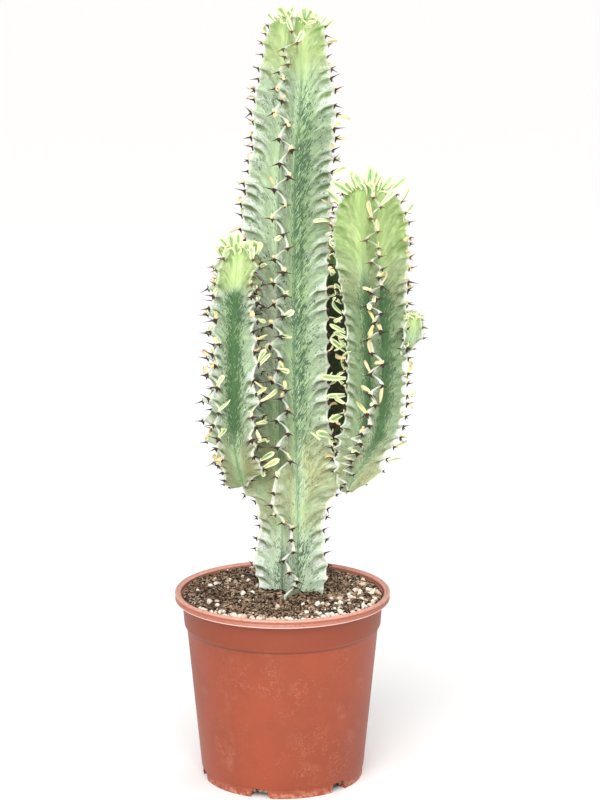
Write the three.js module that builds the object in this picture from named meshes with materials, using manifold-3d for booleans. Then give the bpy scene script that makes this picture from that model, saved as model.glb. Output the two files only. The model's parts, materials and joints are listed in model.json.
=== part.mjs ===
// A variegated four-ribbed euphorbia in a nursery pot: a main stem with three side branches and a
// young side shoot, standing in soil. Millimetres, +Z up, front towards -Y, and the origin at the
// centre of the pot's underside.

import * as THREE from 'three';
import Module from 'manifold-3d';
import { mergeVertices } from 'three/addons/utils/BufferGeometryUtils.js';

const wasm = await Module();
wasm.setup();

// ---- driving dimensions ----

const GAP = 0.3; // between pieces that touch
const STEM_GAP = 0.5; // the same, round a stem, whose ribs have long thin faces
const ROUND = 32; // sides of the pot's circles

const POT_HEIGHT = 186;
const RIM_RADIUS = 105;
const LIP_HEIGHT = 7;
const LIP_WIDTH = 5.6;
const WALL = 1.5;
const BAND_TOP_RADIUS = 97.6;
const BAND_FOOT = { r: 96, z: 154.4 };
const STEP = { r: 93.4, z: 150 };
const WALL_FOOT = { r: 80, z: 9.8 };
const FOOT_OUTER = 79;
const FOOT_INNER = 64;
const FLOOR_RECESS = 3.5; // the floor's underside above the feet
const PAD_RADIUS = 20; // flat centre of the underside, level with the feet

const NOTCH_COUNT = 6; // arches between the feet
const FIRST_NOTCH = -106; // degrees
const NOTCH_HEIGHT = 9.3;
const NOTCH_TOP_WIDTH = 14;
const NOTCH_FOOT_WIDTH = 21;
const ARCH_START = FOOT_INNER - 6; // radius at which an arch begins
const DRAIN = { inner: 65, outer: 76, width: 6 };

const SOIL_LEVEL = 184.4;
const SOIL_MOUND = 3; // rise from the wall to the stem
const SOIL_ROUGHNESS = 1.6;
const GRAIN_COUNT = 22; // pumice grains that stand out of the soil

const SHIELD_SPACING = 12.8; // between spine shields along a rib
const SHIELD_HALF_HEIGHT = 1.3;
const SHIELD_HALF_WIDTH = 2;
const MARGIN_HALF_WIDTH = 1.3; // of a rib's edge between two shields
const RIB_SWING = 5.6; // of a rib's edge to either side, from shield to shield
const RIB_SCALLOP = 1.4; // a rib's edge dips this far between two shields
const VALLEY_RADIUS = 11; // the stem's core between two ribs
const SPINE_LENGTH = 7.5;
const LEAF_THICKNESS = 1.1;
const SPINE_CLEARANCE = 1.6; // between the spines and leaves of two stems

// ---- the stems: hand-set [height, value] points, joined by smooth curves ----

const MAIN = {
  name: 'main_stem',
  foot: 138,
  firstShield: 199,
  lastShield: 733,
  top: 739,
  facing: 259, // azimuth of the front rib
  x: [[138, 8], [256, 9], [396, 6.2], [556, 5.8], [616, 8], [646, 10.8], [676, 12.3],
    [715, 12.7], [739, 14.4]],
  y: [[138, 0], [739, 0]],
  radius: [[138, 20], [156, 29], [191, 32.5], [202, 35.5], [218, 34], [236, 31.5], [258, 31.5],
    [276, 34], [296, 37], [396, 38.5], [476, 38.5], [571, 41], [616, 40.3], [646, 39.3],
    [664, 38], [701, 31.5], [721, 28.8], [733, 25.5], [739, 20]],
  swells: [ // where the ribs flare out under the branches
    { rib: 1, at: 300, reach: 13, spread: 15 },
    { rib: 1, at: 342, reach: 2.5, spread: 12 },
    { rib: 3, at: 291, reach: 13.5, spread: 10 },
    { rib: 3, at: 552, reach: 4, spread: 14 },
    { rib: 3, at: 620, reach: -4, spread: 15 },
    { rib: 3, at: 222, reach: 3, spread: 12 },
  ],
  crown: { leaves: 12, length: 15, width: 4.6 },
};

const LEFT = {
  name: 'left_branch',
  foot: 291,
  firstShield: 298,
  lastShield: 524,
  top: 529,
  facing: 225,
  x: [[291, -37], [300, -39], [312, -41.5], [330, -44.5], [346, -45.5], [476, -44.6],
    [529, -40]],
  y: [[291, 2], [306, -4], [326, -17], [346, -26], [376, -32], [529, -32]],
  radius: [[291, 5], [297, 10], [303, 17], [309, 24], [316, 27.5], [330, 28], [341, 30],
    [396, 30], [436, 29.5], [474, 29], [501, 28], [516, 24.5], [525, 20], [529, 14]],
  swells: [
    { rib: 0, at: 297, reach: 16, spread: 8 },
    { rib: 1, at: 314, reach: 4.5, spread: 6 },
    { rib: 3, at: 297, reach: 16, spread: 8 },
    { rib: 3, at: 366, reach: 6, spread: 22 },
  ],
  crown: { leaves: 10, length: 14, width: 4.2 },
};

const RIGHT = {
  name: 'right_branch',
  foot: 288,
  firstShield: 296,
  lastShield: 579,
  top: 585,
  facing: 268,
  x: [[288, 62], [297, 63], [309, 67], [321, 73], [336, 80], [356, 86], [376, 88.5], [446, 89],
    [516, 84.5], [585, 82]],
  y: [[288, -12], [301, -14], [326, -21], [356, -26], [585, -27]],
  radius: [[288, 5], [292, 8], [300, 12], [310, 16], [320, 20], [330, 23.5], [340, 26],
    [351, 27], [446, 28.5], [486, 31], [521, 35], [551, 35], [568, 30], [579, 24], [585, 16]],
  swells: [
    { rib: 0, at: 300, reach: 8, spread: 14 },
    { rib: 1, at: 306, reach: 13, spread: 9 },
    { rib: 3, at: 342, reach: 3.5, spread: 14 },
  ],
  crown: { leaves: 11, length: 23, width: 4.8 },
};

const REAR = {
  name: 'rear_branch',
  foot: 300,
  firstShield: 308,
  lastShield: 514,
  top: 519,
  facing: 222,
  x: [[300, 24], [316, 33], [336, 44], [366, 50], [446, 51], [519, 49]],
  y: [[300, 14], [316, 22], [336, 33], [366, 38], [519, 38]],
  radius: [[300, 6], [308, 14], [322, 20], [346, 23], [396, 24.5], [476, 25], [501, 23],
    [512, 18], [519, 11]],
  swells: [],
  crown: { leaves: 6, length: 12, width: 4.2 },
};

const PUP = {
  name: 'right_pup',
  foot: 426,
  firstShield: 433,
  lastShield: 461,
  top: 466,
  facing: 225,
  x: [[426, 115], [434, 119], [446, 123.5], [466, 124.5]],
  y: [[426, -27], [466, -27]],
  radius: [[426, 4], [432, 8.5], [444, 13], [455, 13], [462, 9.5], [466, 6]],
  swells: [],
  crown: { leaves: 5, length: 5, width: 3 },
};

// Leaves that catch the eye: the height of their shield, the rib that it is on, the way they point
// as outward, sideways and upward shares, and their length and width.
const MAIN_LEAVES = [
  { at: 724, rib: 0, way: [0.5, 0.3, 0.8], length: 16, width: 4.5 },
  { at: 712, rib: 0, way: [0.7, 0.5, 0.5], length: 12, width: 4.5 },
  { at: 722, rib: 1, way: [0.6, 0, 0.8], length: 17, width: 4 },
  { at: 651, rib: 1, way: [1, 0.1, 0.25], length: 15, width: 3.6 },
  { at: 626, rib: 1, way: [0.9, -0.3, 0.5], length: 16, width: 5 },
  { at: 603, rib: 1, way: [0.8, 0.2, 0.75], length: 19, width: 4.5 },
  { at: 588, rib: 1, way: [0.8, -0.2, 0.75], length: 20, width: 4.5 },
  { at: 648, rib: 3, way: [0.9, -0.3, 0.5], length: 15, width: 3.6 },
  { at: 556, rib: 0, way: [0.4, 0.6, 0.8], length: 13, width: 6 },
  { at: 526, rib: 0, way: [0.5, -0.5, -0.5], length: 11, width: 6 },
  { at: 458, rib: 0, way: [0.6, 0.9, 0], length: 11, width: 6.5 },
  { at: 436, rib: 0, way: [0.7, 0.8, -0.2], length: 11, width: 6.5 },
  { at: 406, rib: 0, way: [0.5, 0.9, -0.1], length: 19, width: 5 },
  { at: 381, rib: 0, way: [0.4, 0.9, 0.2], length: 16, width: 4.5 },
  { at: 341, rib: 1, way: [0.1, -0.85, 0.5], length: 24, width: 7.5 },
  { at: 348, rib: 1, way: [0.5, -0.6, 0.55], length: 20, width: 6 },
  { at: 362, rib: 1, way: [0.6, -0.8, 0.1], length: 18, width: 5.5 },
];

const LEFT_LEAVES = [
  { at: 336, rib: 0, way: [0.5, 0.75, 0.6], length: 25, width: 5.5 },
  { at: 364, rib: 0, way: [0.6, 0.6, 0.7], length: 16, width: 5 },
  { at: 392, rib: 0, way: [0.4, 0.7, 0.7], length: 13, width: 5 },
  { at: 374, rib: 0, way: [0.9, -0.5, -0.1], length: 15, width: 5 },
  { at: 348, rib: 0, way: [0.9, -0.5, -0.2], length: 14, width: 5 },
  { at: 376, rib: 1, way: [0.5, 0.8, 0.15], length: 22, width: 5 },
  { at: 351, rib: 1, way: [0.5, 0.8, 0], length: 19, width: 4.5 },
  { at: 334, rib: 1, way: [0.5, 0.8, 0.1], length: 18, width: 5 },
  { at: 318, rib: 1, way: [0.6, 0.7, 0.3], length: 13, width: 4.5 },
  { at: 424, rib: 1, way: [0.5, 0.8, 0.2], length: 17, width: 4.5 },
  { at: 458, rib: 0, way: [0.8, -0.3, -0.3], length: 11, width: 5 },
];

const RIGHT_LEAVES = [
  { at: 474, rib: 3, way: [0.8, 0.5, 0.45], length: 30, width: 4.5 },
  { at: 462, rib: 3, way: [0.8, 0.45, -0.25], length: 24, width: 4.5 },
  { at: 451, rib: 3, way: [0.75, 0.5, 0.5], length: 27, width: 4.5 },
  { at: 436, rib: 3, way: [0.7, 0.6, 0.6], length: 24, width: 5 },
  { at: 426, rib: 3, way: [0.6, 0.5, -0.5], length: 20, width: 5 },
  { at: 414, rib: 3, way: [0.75, 0.5, 0.55], length: 22, width: 4.5 },
  { at: 399, rib: 3, way: [0.85, 0.5, 0.1], length: 32, width: 6 },
  { at: 389, rib: 3, way: [0.85, 0.5, 0.35], length: 28, width: 5 },
  { at: 377, rib: 3, way: [0.9, 0.45, -0.05], length: 28, width: 5 },
  { at: 496, rib: 3, way: [0.7, 0.7, 0.2], length: 20, width: 5 },
  { at: 511, rib: 3, way: [0.6, 0.8, -0.1], length: 18, width: 5 },
  { at: 559, rib: 3, way: [0.7, 0.6, 0.5], length: 22, width: 5 },
  { at: 548, rib: 3, way: [0.8, 0.4, 0.1], length: 18, width: 5 },
  { at: 361, rib: 0, way: [0.5, -0.8, 0.4], length: 20, width: 5.5 },
  { at: 496, rib: 0, way: [0.5, 0.8, 0.2], length: 12, width: 5.5 },
  { at: 336, rib: 1, way: [0.9, -0.2, 0.35], length: 17, width: 5 },
  { at: 322, rib: 1, way: [0.9, -0.2, 0.35], length: 14, width: 5 },
  { at: 381, rib: 1, way: [0.9, -0.3, 0.3], length: 12, width: 5 },
  { at: 401, rib: 1, way: [0.8, -0.5, 0.2], length: 13, width: 5 },
  { at: 566, rib: 1, way: [0.7, -0.2, 0.7], length: 20, width: 4.5 },
];

const SCATTERED_LEAVES = 0.03; // share of the other shields that carry a small leaf

// ---- numbers and curves ----

// A repeatable number from 0 to 1 for a set of whole-number keys.
function chance(...keys) {
  const strides = [12.9898, 78.233, 37.719, 4.581];
  const sum = keys.reduce((total, key, i) => total + key * strides[i], 0.5);
  const wave = Math.sin(sum) * 43758.5453;
  return wave - Math.floor(wave);
}

// The same, spread evenly from -1 to 1.
function spread(...keys) {
  return 2 * chance(...keys) - 1;
}

// A smooth curve through [at, value] points, level past both ends.
function through(points) {
  const last = points.length - 1;
  const slope = (i) => {
    const before = points[Math.max(i - 1, 0)];
    const after = points[Math.min(i + 1, last)];
    return (after[1] - before[1]) / (after[0] - before[0]);
  };
  return (at) => {
    if (at <= points[0][0]) return points[0][1];
    if (at >= points[last][0]) return points[last][1];
    const i = points.findIndex((point) => point[0] > at) - 1;
    const span = points[i + 1][0] - points[i][0];
    const u = (at - points[i][0]) / span;
    const rise = u * u * (3 - 2 * u);
    const leave = u * (1 - u) * (1 - u) * span * slope(i);
    const arrive = u * u * (u - 1) * span * slope(i + 1);
    return points[i][1] * (1 - rise) + points[i + 1][1] * rise + leave + arrive;
  };
}

function radians(degrees) {
  return THREE.MathUtils.degToRad(degrees);
}

function polar(radius, degrees, z) {
  const angle = radians(degrees);
  return new THREE.Vector3(radius * Math.cos(angle), radius * Math.sin(angle), z);
}

// ---- solids ----

// A closed solid from points and triangles, turned right side out.
function solid(points, triangles) {
  let volume = 0;
  const cross = new THREE.Vector3();
  for (const [a, b, c] of triangles) {
    volume += points[a].dot(cross.crossVectors(points[b], points[c]));
  }
  const faces = volume > 0 ? triangles : triangles.map(([a, b, c]) => [a, c, b]);
  return new wasm.Manifold(new wasm.Mesh({
    numProp: 3,
    vertProperties: new Float32Array(points.flatMap((point) => point.toArray())),
    triVerts: new Uint32Array(faces.flat()),
  }));
}

// The triangles between rings of equal length, closed by a point at each end. The point before the
// first ring comes first in the list of points, and the point after the last ring comes last.
function skinTriangles(ringCount, size) {
  const triangles = [];
  const end = ringCount * size + 1;
  const at = (ring, i) => 1 + ring * size + (i % size);
  for (let i = 0; i < size; i += 1) {
    triangles.push([0, at(0, i + 1), at(0, i)]);
    for (let ring = 0; ring < ringCount - 1; ring += 1) {
      triangles.push([at(ring, i), at(ring, i + 1), at(ring + 1, i + 1)]);
      triangles.push([at(ring, i), at(ring + 1, i + 1), at(ring + 1, i)]);
    }
    triangles.push([end, at(ringCount - 1, i), at(ringCount - 1, i + 1)]);
  }
  return triangles;
}

function skin(start, rings, end) {
  return solid([start, ...rings.flat(), end], skinTriangles(rings.length, rings[0].length));
}

// A round solid from an outline of [radius, z] points that starts and ends on the axis. The height
// of a point may change by a function of its radius and azimuth.
function revolve(outline, lift = () => 0) {
  const onAxis = ([, z], r = 0) => new THREE.Vector3(0, 0, z + lift(r, 0, z));
  const rings = outline.slice(1, -1).map(([r, z]) => (
    Array.from({ length: ROUND }, (_, i) => {
      const azimuth = (i * 360) / ROUND;
      return polar(r, azimuth, z + lift(r, azimuth, z));
    })
  ));
  return skin(onAxis(outline[0]), rings, onAxis(outline[outline.length - 1]));
}

// The manifold of a three.js geometry.
function fromGeometry(geometry) {
  const bare = geometry.clone();
  bare.deleteAttribute('normal');
  bare.deleteAttribute('uv');
  const merged = mergeVertices(bare);
  return new wasm.Manifold(new wasm.Mesh({
    numProp: 3,
    vertProperties: new Float32Array(merged.attributes.position.array),
    triVerts: new Uint32Array(merged.index.array),
  }));
}

// The three.js geometry of a manifold.
function toGeometry(manifold) {
  const mesh = manifold.getMesh();
  const geometry = new THREE.BufferGeometry();
  geometry.setAttribute('position', new THREE.BufferAttribute(mesh.vertProperties, 3));
  geometry.setIndex(new THREE.BufferAttribute(mesh.triVerts, 1));
  geometry.computeVertexNormals();
  return geometry;
}

// The largest body of a manifold, without the scraps that a cut leaves beside it.
function largestBody(manifold) {
  return manifold.decompose().reduce((best, body) => (
    body.volume() > best.volume() ? body : best
  ));
}

// ---- the pot ----

const FLOOR_TOP = FLOOR_RECESS + WALL;
const LIP_FOOT = POT_HEIGHT - LIP_HEIGHT;

function potOutside() {
  return [
    [0, 0], [PAD_RADIUS, 0], [PAD_RADIUS + 1.5, FLOOR_RECESS],
    [FOOT_INNER - 1.5, FLOOR_RECESS], [FOOT_INNER, 0], [FOOT_OUTER - 0.5, 0],
    [FOOT_OUTER, WALL_FOOT.z - 0.6], [WALL_FOOT.r, WALL_FOOT.z],
    [STEP.r, STEP.z], [BAND_FOOT.r, BAND_FOOT.z], [BAND_TOP_RADIUS, LIP_FOOT + 0.6],
    [RIM_RADIUS - 0.5, LIP_FOOT], [RIM_RADIUS - 0.2, LIP_FOOT + 1.4],
    [RIM_RADIUS - 1.8, LIP_FOOT + 3.4], [RIM_RADIUS, LIP_FOOT + 5.8],
    [RIM_RADIUS - 1, POT_HEIGHT - 0.4], [RIM_RADIUS - 3, POT_HEIGHT],
  ];
}

// The cavity's outline from the floor's centre up to the lip, drawn in by a clearance.
function potInside(clearance) {
  return [
    [0, WALL + clearance], [PAD_RADIUS - 1.5 - clearance, WALL + clearance],
    [PAD_RADIUS + 1 - clearance, FLOOR_TOP + clearance],
    [WALL_FOOT.r - WALL - 1 - clearance, FLOOR_TOP + clearance],
    [STEP.r - WALL - clearance, STEP.z + 0.4],
    [BAND_FOOT.r - WALL - clearance, BAND_FOOT.z + 0.4],
    [BAND_TOP_RADIUS - WALL - clearance, LIP_FOOT + 0.6],
    [RIM_RADIUS - LIP_WIDTH - clearance, LIP_FOOT + 5],
  ];
}

// Copies of a geometry that points to -Y, one at each arch between the feet.
function atEachArch(geometry) {
  return Array.from({ length: NOTCH_COUNT }, (_, i) => {
    const turn = FIRST_NOTCH + 90 + (i * 360) / NOTCH_COUNT;
    return fromGeometry(geometry.clone().rotateZ(radians(turn)));
  });
}

// A trapezoid bar along the radius at each arch.
function archBars(grow, height, inner, outer) {
  const outline = new THREE.Shape([
    new THREE.Vector2(-NOTCH_FOOT_WIDTH / 2 - grow, -1),
    new THREE.Vector2(NOTCH_FOOT_WIDTH / 2 + grow, -1),
    new THREE.Vector2(NOTCH_TOP_WIDTH / 2 + grow, height),
    new THREE.Vector2(-NOTCH_TOP_WIDTH / 2 - grow, height),
  ]);
  const bar = new THREE.ExtrudeGeometry(outline, { depth: outer - inner, bevelEnabled: false });
  bar.rotateX(Math.PI / 2); // outline upright, bar along -Y
  bar.translate(0, -inner, 0);
  return atEachArch(bar);
}

function drainSlots() {
  const length = DRAIN.outer - DRAIN.inner;
  const slot = new THREE.BoxGeometry(DRAIN.width, length, 3 * WALL);
  slot.translate(0, -DRAIN.inner - length / 2, NOTCH_HEIGHT + WALL / 2);
  return atEachArch(slot);
}

function buildPot() {
  const rimInner = [RIM_RADIUS - LIP_WIDTH + 0.6, POT_HEIGHT - 0.3];
  const outer = revolve([...potOutside(), rimInner, [0, POT_HEIGHT - 0.3]]);
  const inner = revolve([...potInside(0), [RIM_RADIUS - LIP_WIDTH + 0.4, POT_HEIGHT + 1],
    [0, POT_HEIGHT + 1]]);
  const arches = archBars(0, NOTCH_HEIGHT, ARCH_START, FOOT_OUTER + 8);
  const humps = archBars(WALL, NOTCH_HEIGHT + WALL, ARCH_START - WALL, FOOT_OUTER + 0.5);
  let pot = outer.subtract(inner);
  for (const hump of humps) pot = pot.add(hump.intersect(outer));
  for (const cut of [...arches, ...drainSlots()]) pot = pot.subtract(cut);
  return pot;
}

// ---- stems ----

const RIBS = 4;
const PER_RIB = 3; // points: the valley before the rib, and the two sides of its edge

// A stem's curves and its shields, worked out from its hand-set points.
function prepare(stem) {
  const gaps = Math.round((stem.lastShield - stem.firstShield) / SHIELD_SPACING);
  return {
    ...stem,
    x: through(stem.x),
    y: through(stem.y),
    radius: through(stem.radius),
    gaps,
    spacing: (stem.lastShield - stem.firstShield) / gaps,
    seed: stem.foot,
  };
}

function centre(stem, z) {
  return new THREE.Vector3(stem.x(z), stem.y(z), z);
}

function outward(stem, rib) {
  return polar(1, stem.facing + rib * 90, 0);
}

function sideways(stem, rib) {
  return polar(1, stem.facing + rib * 90 + 90, 0);
}

function edgeRadius(stem, rib, z) {
  const swell = stem.swells
    .filter((place) => place.rib === rib)
    .reduce((sum, { at, reach, spread: width }) => (
      sum + reach * Math.exp(-0.5 * ((z - at) / width) ** 2)), 0);
  return stem.radius(z) + swell;
}

function valleyRadius(stem, z) {
  return Math.min(VALLEY_RADIUS, 0.4 * stem.radius(z));
}

// How far a rib's features are from both ends of the stem: 0 at an end, 1 from two shields in.
function settled(stem, index) {
  return Math.min(index / 2, (stem.gaps - index) / 2, 1);
}

// Neighbouring ribs carry their shields half a space apart.
function shieldHeight(stem, rib, index) {
  const stagger = 0.5 * (rib % 2) + 0.16 * spread(stem.seed, rib, index);
  return stem.firstShield + (index + stagger * settled(stem, index)) * stem.spacing;
}

function shieldSwing(stem, rib, index) {
  const side = index % 2 ? 1 : -1;
  const size = RIB_SWING * (0.85 + 0.3 * chance(stem.seed, rib, index, 1));
  const slender = Math.min(1, stem.radius(shieldHeight(stem, rib, index)) / 30);
  return side * size * slender * (0.3 + 0.7 * Math.max(settled(stem, index), 0));
}

// The levels of a stem from its foot to its crown. Each gives, for a rib, the height of its edge,
// how far out it is, how far it swings to the side and half its thickness.
function levels(stem) {
  const plain = (z, share = 1) => () => ({
    z, r: share * stem.radius(z), swing: 0, half: MARGIN_HALF_WIDTH,
  });
  const rows = [plain(stem.foot + 1)];
  const bare = stem.firstShield - stem.foot;
  if (bare > SHIELD_SPACING * 2) {
    for (const share of [0.35, 0.8]) rows.push(plain(stem.foot + share * bare));
  }
  for (let index = 0; index <= stem.gaps; index += 1) {
    for (const edge of [-SHIELD_HALF_HEIGHT, SHIELD_HALF_HEIGHT]) {
      rows.push((rib) => {
        const z = shieldHeight(stem, rib, index) + edge;
        const r = edgeRadius(stem, rib, z) + RIB_SCALLOP / 2;
        return { z, r, swing: shieldSwing(stem, rib, index), half: SHIELD_HALF_WIDTH };
      });
    }
    if (index < stem.gaps) {
      rows.push((rib) => {
        const z = (shieldHeight(stem, rib, index) + shieldHeight(stem, rib, index + 1)) / 2;
        const swing = (shieldSwing(stem, rib, index) + shieldSwing(stem, rib, index + 1)) / 2;
        const r = edgeRadius(stem, rib, z) - RIB_SCALLOP / 2;
        return { z, r, swing, half: MARGIN_HALF_WIDTH };
      });
    }
  }
  rows.push(plain(stem.top));
  return rows;
}

// A point on a rib: out along it and across it, from the stem's centre at that height.
function ribPoint(stem, rib, z, out, across) {
  return centre(stem, z)
    .addScaledVector(outward(stem, rib), out)
    .addScaledVector(sideways(stem, rib), across);
}

function ringAt(stem, row, grow) {
  const ribs = Array.from({ length: RIBS }, (_, rib) => row(rib));
  return ribs.flatMap((edge, rib) => {
    const before = ribs[(rib + RIBS - 1) % RIBS];
    const z = (edge.z + before.z) / 2;
    const core = valleyRadius(stem, z) + grow;
    return [
      centre(stem, z).add(polar(core, stem.facing + rib * 90 - 45, 0)),
      ribPoint(stem, rib, edge.z, edge.r + grow, edge.swing - edge.half - grow),
      ribPoint(stem, rib, edge.z, edge.r + grow, edge.swing + edge.half + grow),
    ];
  });
}

// The bare ribbed body of a stem, grown on all sides by an allowance.
function ribbedBody(stem, grow = 0) {
  const rings = levels(stem).map((row) => ringAt(stem, row, grow));
  const foot = centre(stem, stem.foot - grow);
  const crown = centre(stem, stem.top - 2 + grow);
  return skin(foot, rings, crown);
}

// True where a point is inside a stem's ribs or within a margin of them.
function insideStem(stem, point, margin) {
  if (point.z < stem.foot - margin || point.z > stem.top + margin) return false;
  const offset = point.clone().sub(centre(stem, point.z)).setZ(0);
  const core = valleyRadius(stem, point.z);
  if (offset.length() < core + margin) return true;
  for (let rib = 0; rib < RIBS; rib += 1) {
    const reach = edgeRadius(stem, rib, point.z) + RIB_SCALLOP;
    const along = offset.dot(outward(stem, rib));
    const across = Math.abs(offset.dot(sideways(stem, rib)));
    const share = THREE.MathUtils.clamp(along / reach, 0, 1);
    const half = THREE.MathUtils.lerp(core, RIB_SWING + SHIELD_HALF_WIDTH, share);
    if (along > 0 && along < reach + margin && across < half + margin) return true;
  }
  return false;
}

// ---- spines and leaves ----

const placed = []; // the spines and leaves so far, as lines with the stem that they grow on

function crossesPlaced(stem, from, to) {
  const line = new THREE.Line3(from, to);
  const onLine = new THREE.Vector3();
  return placed.some((other) => {
    if (other.stem === stem) return false;
    if (other.from.distanceTo(from) > 60) return false;
    for (let step = 0; step <= 6; step += 1) {
      const point = other.from.clone().lerp(other.to, step / 6);
      line.closestPointToPoint(point, true, onLine);
      if (onLine.distanceTo(point) < SPINE_CLEARANCE + other.half) return true;
    }
    return false;
  });
}

// True where a line from a stem's rib meets none of the other stems.
function isClear(stem, stems, from, to, half) {
  for (const other of stems) {
    if (other === stem) continue;
    for (const share of [0.3, 0.65, 1]) {
      if (insideStem(other, from.clone().lerp(to, share), half + 0.8)) return false;
    }
  }
  return !crossesPlaced(stem, from, to);
}

// The two spines of each shield, as tips raised from the two triangles of its face.
function addSpines(stem, stems, points, triangles) {
  const size = RIBS * PER_RIB;
  const rows = levels(stem).length;
  const firstRow = rows - 1 - (3 * stem.gaps + 2);
  const at = (row, i) => 1 + row * size + (i % size);
  for (let rib = 0; rib < RIBS; rib += 1) {
    for (let index = 0; index <= stem.gaps; index += 1) {
      const row = firstRow + 3 * index;
      const low = at(row, PER_RIB * rib + 1);
      const high = at(row + 1, PER_RIB * rib + 1);
      const faces = [[low, low + 1, high + 1, 1], [low, high + 1, high, -1]];
      for (const [a, b, c, side] of faces) {
        const base = points[a].clone().add(points[b]).add(points[c]).divideScalar(3);
        const length = SPINE_LENGTH * (0.85 + 0.3 * chance(stem.seed, rib, index, side + 4));
        const way = outward(stem, rib).multiplyScalar(0.75)
          .addScaledVector(sideways(stem, rib), 0.7 * side)
          .setZ(0.3 * spread(stem.seed, rib, index, side + 7));
        const tip = base.clone().addScaledVector(way.normalize(), length);
        if (isClear(stem, stems, base, tip, 0)) {
          placed.push({ stem, from: base, to: tip, half: 0 });
          const face = triangles.findIndex(([p, q, r]) => p === a && q === b && r === c);
          const top = points.push(tip) - 1;
          triangles.splice(face, 1, [a, b, top], [b, c, top], [c, a, top]);
        }
      }
    }
  }
}

// A spoon-shaped blade: narrow at its root, widest past the middle and drawn to a tip. It bends
// upwards along its length.
function blade({ root, way, side, length, width, bend, large = false }) {
  const face = new THREE.Vector3().crossVectors(way, side).normalize();
  const line = (share) => root.clone()
    .addScaledVector(way, length * share)
    .addScaledVector(face, bend * length * share * share);
  const ring = (share, wide, thick) => {
    const middle = line(share);
    return [
      middle.clone().addScaledVector(side, wide / 2),
      middle.clone().addScaledVector(face, thick / 2),
      middle.clone().addScaledVector(side, -wide / 2),
      middle.clone().addScaledVector(face, -thick / 2),
    ];
  };
  const rings = [
    ring(0, 0.45 * width, LEAF_THICKNESS),
    ring(large ? 0.5 : 0.62, width, LEAF_THICKNESS),
  ];
  if (large) rings.push(ring(0.84, 0.8 * width, LEAF_THICKNESS * 0.8));
  return skin(root.clone(), rings, line(1));
}

// A leaf on the shield nearest to a height, or null where it would meet another stem.
function leafOnShield(stem, stems, { at, rib, way, length, width }) {
  const guess = Math.round((at - stem.firstShield) / stem.spacing - 0.5 * (rib % 2));
  const index = THREE.MathUtils.clamp(guess, 0, stem.gaps);
  const z = shieldHeight(stem, rib, index);
  const reach = edgeRadius(stem, rib, z);
  const swing = shieldSwing(stem, rib, index);
  const root = ribPoint(stem, rib, z + 1.6, reach - 2.6, swing);
  const [out, across, up] = way;
  const direction = outward(stem, rib).multiplyScalar(out)
    .addScaledVector(sideways(stem, rib), across)
    .setZ(up)
    .normalize();
  const turn = chance(stem.seed, rib, index, 11) - 0.5;
  const side = new THREE.Vector3(0, 0, 1).cross(direction)
    .addScaledVector(sideways(stem, rib), 0.1)
    .applyAxisAngle(direction, turn)
    .normalize();
  const tip = root.clone().addScaledVector(direction, length);
  if (!isClear(stem, stems, root, tip, width / 2)) return null;
  placed.push({ stem, from: root, to: tip, half: width / 2 });
  return blade({ root, way: direction, side, length, width, bend: 0.22, large: length > 17 });
}

// The upright young leaves round a stem's growing point.
function crownLeaves(stem) {
  const { leaves, length, width } = stem.crown;
  const depth = 6; // of their roots below the stem's top
  const reach = 0.85 * valleyRadius(stem, stem.top - depth);
  return Array.from({ length: leaves }, (_, i) => {
    const azimuth = i * 137.5 + 20 * spread(stem.seed, i, 3);
    const share = Math.sqrt((i + 0.6) / leaves);
    const lean = 0.15 + 0.75 * share;
    const root = centre(stem, stem.top - depth).add(polar(reach * share, azimuth, 0));
    const way = polar(lean, azimuth, 1).normalize();
    const side = polar(1, azimuth + 90, 0);
    const size = length * (0.7 + 0.35 * chance(stem.seed, i, 5));
    return blade({ root, way, side, length: size + depth, width, bend: 0.12 });
  });
}

// Small leaves on shields taken by chance.
function scatteredLeaves(stem) {
  const specs = [];
  for (let rib = 0; rib < RIBS; rib += 1) {
    for (let index = 1; index <= stem.gaps; index += 1) {
      const young = index > stem.gaps - 2 ? 0.35 : 0;
      if (chance(stem.seed, rib, index, 17) < SCATTERED_LEAVES + young) {
        specs.push({
          at: stem.firstShield + (index + 0.5 * (rib % 2)) * stem.spacing,
          rib,
          way: [0.8, 0.6 * spread(stem.seed, rib, index, 18), 0.2 + 0.5 * chance(rib, index)],
          length: 11 + 5 * chance(stem.seed, rib, index, 19),
          width: 4.4,
        });
      }
    }
  }
  return specs;
}

// A stem with its spines and leaves in one body.
function leafyStem(stem, stems, chosenLeaves, cutBy) {
  const rings = levels(stem).map((row) => ringAt(stem, row, 0));
  const points = [centre(stem, stem.foot), ...rings.flat(), centre(stem, stem.top - 2)];
  const triangles = skinTriangles(rings.length, RIBS * PER_RIB);
  addSpines(stem, stems, points, triangles);
  const leaves = [...chosenLeaves, ...scatteredLeaves(stem)]
    .map((leaf) => leafOnShield(stem, stems, leaf))
    .filter((leaf) => leaf !== null);
  let body = solid(points, triangles);
  for (const leaf of [...leaves, ...crownLeaves(stem)]) body = body.add(leaf);
  return cutBy ? largestBody(body.subtract(cutBy)) : body;
}

// ---- the soil ----

// The soil's surface: a low mound round the stem with a crumbly roughness.
function soilHeight(r, azimuth) {
  const mound = SOIL_MOUND * Math.exp(-((r / 45) ** 2));
  const column = Math.round((azimuth * ROUND) / 360) % ROUND;
  const crumbs = SOIL_ROUGHNESS * spread(column, Math.round(r)) * Math.min(1, r / 20);
  return mound + crumbs;
}

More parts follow.
